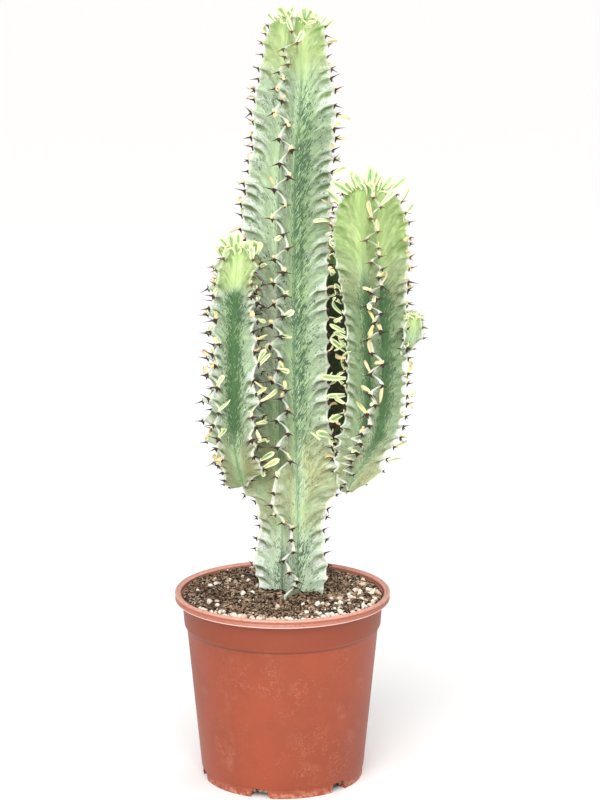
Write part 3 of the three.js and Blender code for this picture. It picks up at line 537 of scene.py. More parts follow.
    def lagged(self, t, z):
        """The height on a rib's edge from which a fold runs down to a place on the flank, where t
        is 0 in the valley and 1 on the edge."""
        return np.minimum(z + FOLD_LAG * self.relief(z) * (1 - t) ** 2.1, self.top)

    def outset(self, rib, t, z):
        """How far out from the axis a place on a flank lies."""
        core = self.valley(z) * math.sqrt(0.5)
        return core + (self.reach(rib, z) - core) * t

    def offset(self, rib, side, t, z):
        """How far to the side of the rib's middle a place on a flank lies."""
        core = self.outset(rib, 0, z)
        if t == 0:
            return side * core
        lagged = self.lagged(t, z)
        fold = self.swing(rib, lagged) * t ** 1.3
        if t == 1:
            return fold
        out, size = self.outset(rib, t, z), self.relief(z)
        half = CREST_HALF + 0.5 * self.tooth(self.phase(rib, z))
        half = half * np.clip(self.radius(z) / 20, 0.5, 1)
        web = half + (WEB_HALF * size - half) * (1 - t) ** 1.2
        spare = np.maximum(core - web, 0.1)
        width = web + spare * np.exp(-(out - core) / spare)
        rounding = np.clip((half - (self.reach(rib, z) - out)) / half, 0, 1)
        width = width * np.sqrt(np.maximum(1 - rounding ** 2, 0))
        phase = self.phase(rib, lagged)
        pleat = self.pleats(rib, side, phase, t) * size
        fine = 0.3 * np.sin(6 * np.pi * phase + 2.1 * side + rib) * t * (1 - t ** 8)
        return side * (width + pleat + fine * (t > 0.1)) + fold

    def readings(self, rib, side, t, z):
        """What the skin's material reads at a place on a flank: where it is, how deep and how
        young, and how shaded, striped and olive."""
        phase = self.phase(rib, self.lagged(t, z))
        deep = np.interp(phase, np.arange(len(self.shield_z[rib])), self.fold_depth[rib])
        flank = 2 * rib + (side > 0)
        share = 0.5 + 0.5 * float(smooth(0, 0.25, t))
        band = self.banded[flank] * share + self.banded[(flank + side) % FLANKS] * (1 - share)
        band = band + (0.85 - band) * self.mottled(z)
        # Painted light and shade on single flanks lower or raise the shade
        shade = self.shade(z) - window(self.painted_light_and_shade, flank, z, 12)
        inward = self.reach(rib, z) - self.outset(rib, t, z)
        same = np.ones_like(z)
        return [np.stack(three, -1) for three in (
            (t * same, phase, flank * same),
            (inward, smooth(*self.young, z), deep),
            (shade, self.stripe(z) * band, self.olive(z)))]

    def surface(self):
        """The points of the skin, ring by ring, and three sets of numbers for its finish."""
        heights, shares = self.rings()
        layout = []
        for rib in range(RIBS):
            layout += [(rib, -1, t) for t in FLANK]
            layout += [(rib, 1, t) for t in FLANK[-2:0:-1]]
        layout.append(layout[0])
        points, *numbers = np.zeros((4, len(heights), len(layout), 3))
        z = np.clip(heights, self.foot, self.top)
        for column, (rib, side, t) in enumerate(layout):
            out, across = self.outset(rib, t, z) * shares, self.offset(rib, side, t, z) * shares
            place = self.centre(z) + out[:, None] * self.outward(rib)
            place += across[:, None] * self.sideways(rib)
            place[:, 2] = heights
            points[:, column] = place
            for layer, values in zip(numbers, self.readings(rib, side, t, z)):
                layer[:, column] = values
        return points * MM, numbers

    def rings(self):
        """The heights of the rings from the closed foot to the closed crown, and their shares."""
        count = int((self.top - self.foot) / RING_STEP)
        bend = np.linspace(0, 1, 7)[1:]
        heights = np.concatenate([[self.foot, self.foot],
                                  np.linspace(self.foot, self.top, count + 1)[1:],
                                  self.top + CROWN_RISE * np.sin(bend * np.pi / 2)])
        shares = np.concatenate([[0.0, 1.0], np.ones(count), np.cos(bend * np.pi / 2)])
        shares[-1] = 0
        return heights, shares


STEMS = [Ribbed(spec) for spec in (MAIN, LEFT, RIGHT, REAR, PUP)]


# ---- modelling steps ----

def deselect():
    """Leaves nothing selected and no mesh being edited."""
    if bpy.context.object and bpy.context.object.mode != "OBJECT":
        bpy.ops.object.mode_set(mode="OBJECT")
    bpy.ops.object.select_all(action="DESELECT")


def focus(piece):
    """Leaves one piece selected and active."""
    deselect()
    bpy.context.view_layer.objects.active = piece
    piece.select_set(True)


def named(name):
    """The object that an operator has just added, under a name of its own."""
    piece = bpy.context.object
    piece.name = name
    piece.data.name = name
    return piece


def apply_place(piece):
    """Moves a piece's place, turn and size into its mesh."""
    focus(piece)
    bpy.ops.object.transform_apply(location=True, rotation=True, scale=True)


def coordinates(mesh):
    """The points of a mesh, one to a row."""
    found = np.empty(len(mesh.vertices) * 3)
    mesh.vertices.foreach_get("co", found)
    return found.reshape(-1, 3)


def move_points(mesh, places):
    """Puts the points of a mesh at new places, one to a row."""
    mesh.vertices.foreach_set("co", np.ascontiguousarray(places, float).ravel())
    mesh.update()


def set_numbers(mesh, name, values):
    """Three numbers for each point of a mesh, for its material to read. They may be given once
    for all points."""
    layer = mesh.attributes.get(name) or mesh.attributes.new(name, "FLOAT_VECTOR", "POINT")
    values = np.broadcast_to(np.asarray(values, np.float32), (len(mesh.vertices), 3))
    layer.data.foreach_set("vector", np.ascontiguousarray(values).ravel())


def apply_modifier(piece, kind, **settings):
    """Adds a modifier, sets it up and applies it."""
    focus(piece)
    modifier = piece.modifiers.new(kind.title(), kind)
    for key, value in settings.items():
        setattr(modifier, key, value)
    bpy.ops.object.modifier_apply(modifier=modifier.name)


def edit_all(piece, *steps):
    """Runs edit-mode steps on all of a piece's mesh."""
    focus(piece)
    bpy.ops.object.mode_set(mode="EDIT")
    bpy.ops.mesh.select_all(action="SELECT")
    for step in steps:
        step()
    bpy.ops.object.mode_set(mode="OBJECT")


def close_up(piece, distance=1e-6):
    """Merges the seams and the collapsed ends of a piece and turns its faces outwards."""
    edit_all(piece,
             lambda: bpy.ops.mesh.remove_doubles(threshold=distance),
             lambda: bpy.ops.mesh.dissolve_degenerate(threshold=distance),
             lambda: bpy.ops.mesh.normals_make_consistent(inside=False))


def soften(piece, degrees):
    """Shades a piece smoothly, apart from edges sharper than an angle."""
    focus(piece)
    bpy.ops.object.shade_smooth_by_angle(angle=math.radians(degrees))


def roll_sheet(name, points, **numbers):
    """A grid primitive whose points are laid at points[row, column], closed where they meet."""
    rows, columns = points.shape[0] - 1, points.shape[1] - 1
    deselect()
    bpy.ops.mesh.primitive_grid_add(x_subdivisions=columns, y_subdivisions=rows, size=1)
    piece = named(name)
    flat = coordinates(piece.data)
    column = np.rint((flat[:, 0] + 0.5) * columns).astype(int)
    row = np.rint((flat[:, 1] + 0.5) * rows).astype(int)
    move_points(piece.data, points[row, column])
    for key, values in numbers.items():
        set_numbers(piece.data, key, values[row, column])
    close_up(piece)
    return piece


def lathe(name, outline, sides):
    """A round shell from a circle that is extruded and resized from point to point of an outline
    of (radius, height), and closed where the outline ends on the axis."""
    deselect()
    (first, low), *rest = outline
    bpy.ops.mesh.primitive_circle_add(vertices=sides, radius=first * MM, fill_type="NOTHING",
                                      location=(0, 0, low * MM))
    piece = named(name)
    apply_place(piece)
    bpy.ops.object.mode_set(mode="EDIT")
    bpy.ops.mesh.select_all(action="SELECT")
    radius, height = first, low
    for wide, high in rest:
        bpy.ops.mesh.extrude_edges_move(
            TRANSFORM_OT_translate={"value": (0, 0, (high - height) * MM)})
        share = max(wide, 1e-3) / radius
        bpy.ops.transform.resize(value=(share, share, 1), center_override=(0, 0, high * MM))
        radius, height = max(wide, 1e-3), high
    bpy.ops.object.mode_set(mode="OBJECT")
    return piece


def copy_of(template, name):
    """Another piece with a mesh of its own, the same as a template's."""
    twin = bpy.data.objects.new(name, template.data.copy())
    bpy.context.scene.collection.objects.link(twin)
    return twin


def joined(name, copies):
    """The copies of a repeated part as one piece."""
    deselect()
    for twin in copies:
        twin.select_set(True)
    bpy.context.view_layer.objects.active = copies[0]
    if len(copies) > 1:
        bpy.ops.object.join()
    return named(name)


def discard(*pieces):
    """Removes pieces that were only tools or templates."""
    for piece in pieces:
        mesh = piece.data
        bpy.data.objects.remove(piece)
        bpy.data.meshes.remove(mesh)


def hand_over(piece, material, node=None):
    """Gives a finished piece its material and its body, and hides the record's part that it stands
    for, if there is one.
    """
    piece.data.materials.clear()
    piece.data.materials.append(material)
    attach(piece, BODY)
    if node:
        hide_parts(node)


# ---- materials ----

class Wire:
    """A number, colour or vector on its way through a material's nodes."""

    def __init__(self, recipe, socket):
        self.recipe, self.socket = recipe, socket

    def math(self, operation, *others, first=None):
        """A Math node on this wire and what follows it, or on a value that stands before it."""
        values = [self, *others] if first is None else [first, self, *others]
        return self.recipe.node("ShaderNodeMath", {"operation": operation}, dict(enumerate(values)))

    def __add__(self, other):
        return self.math("ADD", other)

    def __sub__(self, other):
        return self.math("SUBTRACT", other)

    def __mul__(self, other):
        return self.math("MULTIPLY", other)

    __radd__ = __add__
    __rmul__ = __mul__

    def __rsub__(self, other):
        return self.math("SUBTRACT", first=other)

    def mask(self, low, high):
        """0 below low and 1 above high, or the other way round where low is the larger."""
        return self.recipe.node(
            "ShaderNodeMapRange", {"interpolation_type": "SMOOTHSTEP", "clamp": True},
            {"Value": self, "From Min": low, "From Max": high, "To Min": 0.0, "To Max": 1.0},
            out="Result")

    def parts(self):
        """The three numbers of a vector."""
        return [self.recipe.node("ShaderNodeSeparateXYZ", {}, {0: self}, out=i) for i in range(3)]


class Recipe:
    """A material that is being put together from nodes."""

    def __init__(self, name):
        self.material = bpy.data.materials.new(name)
        self.material.use_nodes = True
        self.tree = self.material.node_tree
        self.shader = self.tree.nodes["Principled BSDF"]

    def node(self, kind, settings, values, out=0):
        """Adds a node, sets it up, feeds its sockets and gives the wire of an output."""
        made = self.tree.nodes.new(kind)
        for key, value in settings.items():
            setattr(made, key, value)
        for key, value in values.items():
            self.feed(made.inputs[key], value)
        return Wire(self, made.outputs[out])

    def feed(self, socket, value):
        """Links a wire to a socket, or sets the socket to a plain value."""
        if isinstance(value, Wire):
            self.tree.links.new(value.socket, socket)
        else:
            if socket.type == "RGBA" and len(value) == 3:
                value = (*value, 1.0)
            socket.default_value = value

    def objects(self, stretch=(1, 1, 1)):
        """Object coordinates, in metres, stretched along the axes."""
        raw = self.node("ShaderNodeTexCoord", {}, {}, out="Object")
        return self.node("ShaderNodeMapping", {}, {"Vector": raw, "Scale": stretch})

    def numbers(self, name):
        """Three numbers that the mesh keeps for each point."""
        return self.node("ShaderNodeAttribute", {"attribute_name": name}, {}, out="Vector").parts()

    def vector(self, x, y, z):
        """A vector from three numbers."""
        return self.node("ShaderNodeCombineXYZ", {}, {0: x, 1: y, 2: z})

    def noise(self, where, scale, detail, roughness=0.55):
        """Soft noise about 0.5."""
        return self.node("ShaderNodeTexNoise", {},
                         {"Vector": where, "Scale": scale, "Detail": detail,
                          "Roughness": roughness}, out="Fac")

    def cells(self, where, scale):
        """The distance to the nearest of many scattered points."""
        return self.node("ShaderNodeTexVoronoi", {}, {"Vector": where, "Scale": scale},
                         out="Distance")

    def mix(self, share, first, second):
        """The first colour where the share is 0 and the second where it is 1."""
        return self.node("ShaderNodeMix", {"data_type": "RGBA"},
                         {0: share, 6: first, 7: second}, out=2)

    def coats(self, colour, *coats):
        """A colour with others laid over it in turn, each with the share that it covers."""
        for share, paint in coats:
            colour = self.mix(share, colour, paint)
        return colour

    def finish(self, colour, roughness, bump=None, distance=0.0005, strength=1.0, **constants):
        """Feeds the shader: what varies through nodes, and constants on its own sockets."""
        self.feed(self.shader.inputs["Base Color"], colour)
        self.feed(self.shader.inputs["Roughness"], roughness)
        for key, value in constants.items():
            self.shader.inputs[key.replace("_", " ")].default_value = value
        if bump is not None:
            normal = self.node("ShaderNodeBump", {},
                               {"Height": bump, "Distance": distance, "Strength": strength},
                               out="Normal")
            self.feed(self.shader.inputs["Normal"], normal)
        return self.material


def pot_material(pot):
    """Moulded plastic with dusty specks, fine scuffs and paler worn edges at the foot, a lighter
    lip with painted light on its top face, a painted highlight along the lip's lower edge, and
    painted shade under the lip, on the band and along its step.
    """
    make = Recipe("terracotta_plastic")
    where = make.objects()
    height = where.parts()[2]

    def above(low, high):
        """0 below low and 1 above high, both in millimetres, or the other way round."""
        return height.mask(low * MM, high * MM)

    lip, step = LIP_FOOT, STEP[1]
    cloud = make.noise(where, 12, 4, 0.6)
    grain = make.noise(where, 900, 2)
    specks = make.cells(where, 420).mask(0.13, 0.07) * make.noise(where, 55, 2).mask(0.42, 0.6)
    dusty = make.noise(where, 26, 4, 0.7).mask(0.55, 0.8)
    tangle = make.noise(where, 40, 5, 0.75) - 0.5
    scuffs = tangle.math("ABSOLUTE").mask(0.006, 0.0) * make.noise(where, 16, 2).mask(0.48, 0.66)
    # The lip is lighter; its top face also gets painted light, in the coats below
    rim = above(lip - 0.8, lip - 0.2)
    # Painted shade: on the band under the lip, a shadow line along the step, and a shadow just
    # under the lip
    band = above(step + 2, step + 6) * above(lip, lip - 1.5)
    seam = above(step - 0.2, step + 1) * above(step + 3.4, step + 2)
    under = above(lip - 3.5, lip - 0.8) * above(lip + 0.2, lip - 0.3)
    # A painted highlight along the lip's lower edge
    painted_lip_highlight = above(lip - 0.1, lip + 0.3) * above(lip + 1.3, lip + 0.7)
    worn = above(11, 0) * make.noise(where, 190, 4, 0.7).mask(0.42, 0.62)
    colour = make.coats(
        pot.colour,
        (cloud.mask(0.3, 0.7) * 0.7 + 0.15, pot.shade),
        (make.noise(where, 120, 3).mask(0.45, 0.75) * 0.3, pot.shade),
        (specks * 0.45 + dusty * 0.16, pot.dust),
        (scuffs * 0.45, pot.dust),
        # painted shade on the band under the lip
        (band * 0.9, pot.shade),
        # a lighter lip, and painted light on its top face
        (rim * 0.3 + above(POT_HEIGHT - 1, POT_HEIGHT - 0.3) * 0.42, pot.rim),
        (rim * make.noise(where, 300, 3).mask(0.5, 0.7) * 0.4, pot.shade),
        # painted shadow along the step, over the band and just under the lip
        (seam * 0.8 + band * 0.16 + under * 0.6, pot.seam),
        # painted highlight along the lip's lower edge
        (painted_lip_highlight * 0.7, pot.painted_lip_highlight),
        (worn * 0.6, pot.dust))
    rough = 0.42 + cloud * 0.16 + scuffs * 0.2 + worn * 0.2 - rim * 0.12
    return make.finish(colour, rough, grain + scuffs * 0.6 + specks, 0.00014, 0.6)


def soil_material(name, soil, scale=1.0):
    """Damp peat: dark crumbs with paler fibres between them."""
    make = Recipe(name)
    where = make.objects()
    lumps = make.noise(where, 260 * scale, 5, 0.65)
    patches = make.noise(where, 34, 3)
    damp = make.noise(where, 21, 4, 0.7)
    fibres = make.cells(make.objects((1, 1, 0.5)), 620 * scale).mask(0.16, 0.02)
    colour = make.coats(
        soil.dark,
        (lumps.mask(0.44, 0.58), soil.colour),
        (patches.mask(0.4, 0.65) * lumps.mask(0.48, 0.62) * 0.8, soil.light),
        (damp.mask(0.46, 0.6) * 0.5, soil.dark),
        (fibres * 0.6, soil.light))
    return make.finish(colour, 0.95, lumps + fibres * 0.3, 0.0012, 0.9,
                       Specular_IOR_Level=0.2)


def pumice_material(soil):
    """Porous pumice: cream to pinkish stones with darker pits."""
    make = Recipe("pumice")
    where = make.objects()
    tone, _, _ = make.numbers("tone")
    pits = make.cells(where, 1500).mask(0.12, 0.3)
    colour = make.coats(
        soil.pumice,
        (tone.mask(0.45, 0.95) * 0.8, soil.pumice_warm),
        (make.noise(where, 420, 3).mask(0.45, 0.75) * 0.55, soil.pumice_shade),
        ((1 - pits) * 0.45, soil.pumice_shade))
    return make.finish(colour, 0.9, pits + make.noise(where, 900, 3), 0.0004, 0.8)


def skin_material(name, skin):
    """A ribbed stem's skin: pale flanks with streaks that run along the folds, painted highlights
    on the folds' banks and painted shade in their hollows and creases, olive painted shadow under
    the shields, dark green mottling and a stripe in the valleys, olive where a branch begins,
    painted light and shade on single flanks, the gap's painted shadow on the branch behind it, and
    cream edges."""
    make = Recipe(name)
    t, phase, side = make.numbers("flow")
    crest, young, deep = make.numbers("zone")
    shade, stripe, olive = make.numbers("tint")
    old = 1 - young

    def pattern(out, up, apart, scale, detail, roughness=0.55):
        """Noise that runs with the folds of a flank and differs from one flank to the next."""
        return make.noise(make.vector(t * out, phase * up, side * apart), scale, detail, roughness)

    blotch = make.noise(make.objects(), 55, 3)
    wander = pattern(1.5, 0.8, 7.3, 2.0, 2)
    patch = pattern(1.3, 1.1, 5.1, 2.2, 3, 0.6)
    streak = pattern(1.3, 5.0, 5.1, 2.6, 4, 0.7)
    dashes = pattern(6.2, 2.4, 5.1, 2.3, 4, 0.7)
    grain = pattern(26.0, 0.8, 3.7, 1.6, 3, 0.6)
    lines = (streak - 0.5).math("ABSOLUTE").mask(0.03, 0.0)
    flecks = streak.mask(0.53, 0.62) * t.mask(0.95, 0.6) * blotch.mask(0.42, 0.56)
    veins = grain.mask(0.52, 0.66) * t.mask(0.45, 0.05) * old

    # A fold counts from 0 at its shield to 1 at the next: a pale bank with a painted highlight,
    # then a hollow and a crease with painted shade.
    fold = (phase + (wander - 0.5) * (t.mask(1.0, 0.3) * 1.1 + 0.25)).math("FRACT")
    bank = fold.mask(0.8, 0.35) * fold.mask(0.02, 0.2) * deep.mask(0.1, 1.0)
    hollow = fold.mask(0.3, 0.7) * fold.mask(1.0, 0.9) * t.mask(0.3, 0.65) * t.mask(1.0, 0.9)
    crease = fold.mask(0.5, 0.84) * fold.mask(1.0, 0.93) * t.mask(0.5, 0.8) * t.mask(1.0, 0.93)
    # Painted shadow under the shields, in the folds' creases
    under = crease * deep.mask(0.2, 1.0) * shade.mask(-1.2, -0.2)

    # The valley: dark mottling that thickens towards it, and a stripe that fills it.
    density = t.mask(0.25 + stripe * 0.4, 0.0) * stripe.mask(0.0, 0.9)
    dark = (dashes + density * 0.2 + (blotch - 0.5) * 0.35).mask(0.58, 0.64)
    filled = (t + (dashes - 0.5) * 0.35).mask(0.3, 0.16) * (stripe - 0.7).mask(0.0, 0.3) * old

    # The young growth's darker streaks also follow that painted shadow and the flank's painted
    # shade
    fresh = lines * 0.3 + streak.mask(0.45, 0.75) * 0.4 + under * 0.5
    fresh = fresh + (patch + shade * 0.3).mask(0.45, 0.7) * 0.5
    edge = crest.mask(2.0 + blotch, 0.9) * (1 - fold.mask(0.7, 0.95) * 0.6)
    beside = make.mix(stripe.mask(0.4, 0.7), skin.bone, skin.frost)
    tip = make.mix(fresh, skin.tip, skin.tip_deep)
    # The gap's painted shadow, darker and lighter in patches
    gap_shadow = make.mix(dashes.mask(0.5, 0.62), skin.gap_shadow, skin.gap_shadow_light)
    colour = make.coats(
        skin.flank,
        (t.mask(0.1, 0.7) * 0.45 + (blotch - 0.4) * 1.8 + 0.15, skin.frost),
        (patch.mask(0.5, 0.72) * t.mask(0.95, 0.5) * 0.5, skin.deep),
        # below 0 the shade pales a flank: at the foot to frost, its own colour, and beside the left
        # branch to bone, as painted light where that branch shades it
        (shade.mask(0.0, -1.0), beside),
        # painted shade in the folds' hollows, a painted highlight on their banks, and the flank's
        # painted shade, lighter on the banks
        (hollow * deep.mask(0.1, 0.9) * 0.6, skin.deep),
        (bank * t.mask(0.35, 0.75) * (1 - shade * 0.45) * 0.95, skin.pale),
        (shade.mask(0.0, 1.0) * (1 - bank * t.mask(0.4, 0.8) * 0.7) * 0.75, skin.deep),
        # painted shadow under the shields: olive, moss streaks and umber in the deepest creases
        (under * blotch.mask(0.58, 0.42) * 0.85, skin.olive),
        (under * streak.mask(0.4, 0.6), skin.moss),
        (under * fold.mask(0.64, 0.84) * 0.74, skin.umber),
        (olive * blotch.mask(0.25, 0.6) * t.mask(0.0, 0.3) * (1 - under * 0.6), skin.olive),
        ((lines * 0.55 + flecks * 0.9) * t.mask(0.12, 0.35) * t.mask(1.0, 0.85)
         * (1 - olive * 0.5), skin.moss),
        (veins * (0.25 + stripe * 0.3), skin.moss),
        (grain.mask(0.5, 0.34) * t.mask(0.5, 0.05) * 0.55 * old, skin.frost),
        (dark * t.mask(0.98, 0.75) * old * (1 - olive * 0.45) * 0.9, skin.dark),
        (filled * (0.45 + dashes.mask(0.38, 0.6) * 0.5), skin.stripe),
        (t.mask(0.09, 0.0) * grain.mask(0.3, 0.6) * 0.6 * old, skin.moss),
        (young * 0.94, tip),
        # painted shadow of the gap on the branch behind it, where its shade is above 1
        ((shade - 1).mask(0.0, 1.0) * 0.94, gap_shadow),
        (edge * (1 - young * 0.4) * 0.94, skin.margin))
    height = dashes * 0.3 + streak * 0.8 + grain * 0.3 - lines * t.mask(0.15, 0.4) * 0.5 - under
    return make.finish(colour, 0.45 + blotch * 0.2, height, 0.0011, 0.8)


def leaf_material(name, leaf):
    """A small blade: green along its middle, cream at its edges, yellow to peach where dried."""
    make = Recipe(name)
    across, along, _ = make.numbers("blade")
    dry, tone, _ = make.numbers("tone")
    where = make.objects()
    ragged = make.noise(where, 520, 2) * 0.3
    streaks = make.noise(make.vector(across * 5.0, along * 0.7, tone * 9.0), 2.2, 2)
    middle = (across + ragged).mask(0.8, 0.35) * along.mask(1.0, 0.72)
    middle = middle * (0.5 + streaks.mask(0.4, 0.55) * 0.5)
    green = make.mix(tone, leaf.green, leaf.pale_green)
    fresh = make.mix(middle, leaf.cream, green)
    withered = make.mix(tone, leaf.dried, leaf.peach)
    withered = make.mix(along.mask(0.75, 1.0) * 0.7, withered, leaf.scorched)
    colour = make.mix(dry, fresh, withered)
    return make.finish(colour, 0.5, make.noise(where, 700, 2), 0.0002, 0.4)


def spine_material(name, spine):
    """Horn: near-black shields, dark brown spines with paler tips, greener where young."""
    make = Recipe(name)
    along, _, _ = make.numbers("blade")
    young, tone, _ = make.numbers("tone")
    old = make.mix(along.mask(0.15, 0.9), spine.shield, spine.spine)
    old = make.mix(along.mask(0.8, 1.0) * 0.5, old, spine.tip)
    new = make.mix(along.mask(0.05, 0.4), spine.young_shield, spine.young_spine)
    colour = make.mix(young * 0.7, old, new)
    colour = make.mix(tone.mask(0.6, 1.0) * along.mask(0.3, 0.9) * 0.4, colour, spine.tip)
    return make.finish(colour, 0.45, make.noise(make.objects(), 1400, 2), 0.0001, 0.4)


# ---- settings ----

def colour_prop(name, hex_colour, description):
    return bpy.props.FloatVectorProperty(name=name, description=description, subtype="COLOR",
                                         size=3, min=0, max=1, default=linear(hex_colour))


class PotSettings(bpy.types.PropertyGroup):
    """The pot's colours and the fineness of its circles."""
    sides: bpy.props.IntProperty(
        name="Sides", description="Faces round the pot", default=192, min=48, max=360)
    colour: colour_prop("Plastic", 0x9A4324, "The pot's colour")
    # Shade is also the painted shade on the band under the lip.
    shade: colour_prop("Shade", 0x883A1E, "Its darker clouds")
    # Rim is the lip's lighter tone and the painted light on its top face.
    rim: colour_prop("Rim", 0xE2AB98, "The lip's lighter tone")
    # A painted highlight along the lip's lower edge.
    painted_lip_highlight: colour_prop("Brink", 0xF2DACB, "The lip's worn lower edge")
    dust: colour_prop("Dust", 0xD49C84, "Dust, scuffs and worn edges")
    # Seam is painted shadow: under the lip, along the step of the band and over the band.
    seam: colour_prop("Seam", 0x6E2C18, "Under the lip and along the step of the band")


class SoilSettings(bpy.types.PropertyGroup):
    """The soil's colours and how much lies loose on it."""
    crumbs: bpy.props.IntProperty(
        name="Crumbs", description="Loose lumps of peat", default=900, min=0, max=3000)
    grains: bpy.props.IntProperty(
        name="Grains", description="Pumice grains on the surface", default=310, min=0, max=1500)
    fibres: bpy.props.IntProperty(
        name="Fibres", description="Root and peat fibres", default=170, min=0, max=600)
    colour: colour_prop("Peat", 0x9C7F66, "The soil's colour")
    dark: colour_prop("Dark", 0x1A120E, "Between the crumbs")
    light: colour_prop("Light", 0xE3C9AB, "Dry crumbs and fibres")
    pumice: colour_prop("Pumice", 0xF0E9DC, "The grains")
    pumice_shade: colour_prop("Pumice shade", 0xB09C86, "Their pits and shaded sides")
    pumice_warm: colour_prop("Warm pumice", 0xD9B193, "The pinkish grains")


class SkinSettings(bpy.types.PropertyGroup):
    """The colours of the stems' skin."""
    flank: colour_prop("Flank", 0xADCA8F, "The flanks of the ribs")
    frost: colour_prop("Frost", 0xD4E7CC, "The bluer patches on them")
    # Pale is the painted highlight on the banks of the folds.
    pale: colour_prop("Pale", 0xF4FAF0, "The banks of the folds, towards the edges")
    # Deep is the painted shade of the flanks and of the folds' hollows, and the darker patches.
    deep: colour_prop("Deep", 0x70905D, "Shaded flanks")
    dark: colour_prop("Dark", 0x2A5633, "The mottling in the valleys")
    stripe: colour_prop("Stripe", 0x3A5F2C, "The stripe along a branch's valley")
    # Moss also paints the shadow under the shields, besides the streaks and veins.
    moss: colour_prop("Moss", 0x4D7748, "The streaks along the folds")
    # Olive is painted shadow under the shields, and the skin's own olive where a branch begins.
    olive: colour_prop("Olive", 0xC0C089, "Under the shields and where a branch begins")
    # Umber is the painted shadow in the deepest creases under the shields.
    umber: colour_prop("Umber", 0x5C6440, "The deepest creases under the shields")
    # Bone is the pale grey-beige that paints light onto the flank that a branch shades.
    bone: colour_prop("Bone", 0xE0EACF, "The grey-beige flank beside a branch")
    # Gloom is the painted shadow of the gap on the branch behind it, with lighter patches in that
    # painted shadow
    gap_shadow: colour_prop("Gloom", 0x1E2A14, "The branch behind the gap")
    gap_shadow_light: colour_prop("Gloom's lighter side", 0x52622E, "Its lighter patches")
    tip: colour_prop("Tip", 0xC9DB9A, "The young growth at the top")
    # Tip streaks also carry some of the painted shadow under the shields and of the flank's painted
    # shade.
    tip_deep: colour_prop("Tip streaks", 0x86AC55, "The streaks on it")
    margin: colour_prop("Margin", 0xF4F7E6, "The ribs' edges between the shields")


class LeafSettings(bpy.types.PropertyGroup):
    """The leaves' size and colours."""
    thickness: bpy.props.FloatProperty(
        name="Thickness", description="Of a leaf", default=0.0008, min=0.0003, max=0.003,
        unit="LENGTH", precision=4)
    green: colour_prop("Green", 0x4C8A42, "The middle of a leaf")
    pale_green: colour_prop("Pale green", 0x8FC184, "The middle of a paler leaf")
    cream: colour_prop("Cream", 0xEBF0BE, "The edge of a leaf")
    dried: colour_prop("Dried", 0xE2DA8E, "A withered leaf")
    peach: colour_prop("Peach", 0xE8C9A0, "An older withered leaf")
    scorched: colour_prop("Tip", 0xB98048, "Its tip")


class SpineSettings(bpy.types.PropertyGroup):
    """The shields' and spines' size and colours."""
    thickness: bpy.props.FloatProperty(
        name="Thickness", description="Of a spine at its foot", default=0.0019, min=0.0003,
        max=0.003, unit="LENGTH", precision=4)
    shield: colour_prop("Shield", 0x2C100D, "The horny shields")
    spine: colour_prop("Spine", 0x50211A, "The spines")
    tip: colour_prop("Tip", 0xA8604A, "Their tips")
    young_shield: colour_prop("Young shield", 0x4A5A26, "The newest shields")
    young_spine: colour_prop("Young spine", 0xB0593A, "The newest spines")


class StageSettings(bpy.types.PropertyGroup):
    """The floor, the lights and the camera."""
    floor: colour_prop("Floor", 0xFAF9F8, "The plain floor")
    key: bpy.props.FloatProperty(
        name="Key light", description="Strength of the wide soft light", default=2.5, min=0)
    front: bpy.props.FloatProperty(
        name="Front light", description="Power of the large light near the camera", default=16,
        min=0, unit="POWER")
    fill: bpy.props.FloatProperty(
        name="Fill light", description="Power of the light from the other side", default=7, min=0,
        unit="POWER")
    sky: bpy.props.FloatProperty(
        name="Surroundings", description="Strength of the pale surroundings", default=0.57, min=0)
    distance: bpy.props.FloatProperty(
        name="Camera distance", description="In front of the pot's axis", default=2.45, min=0.5,
        unit="LENGTH")


# ---- pieces ----

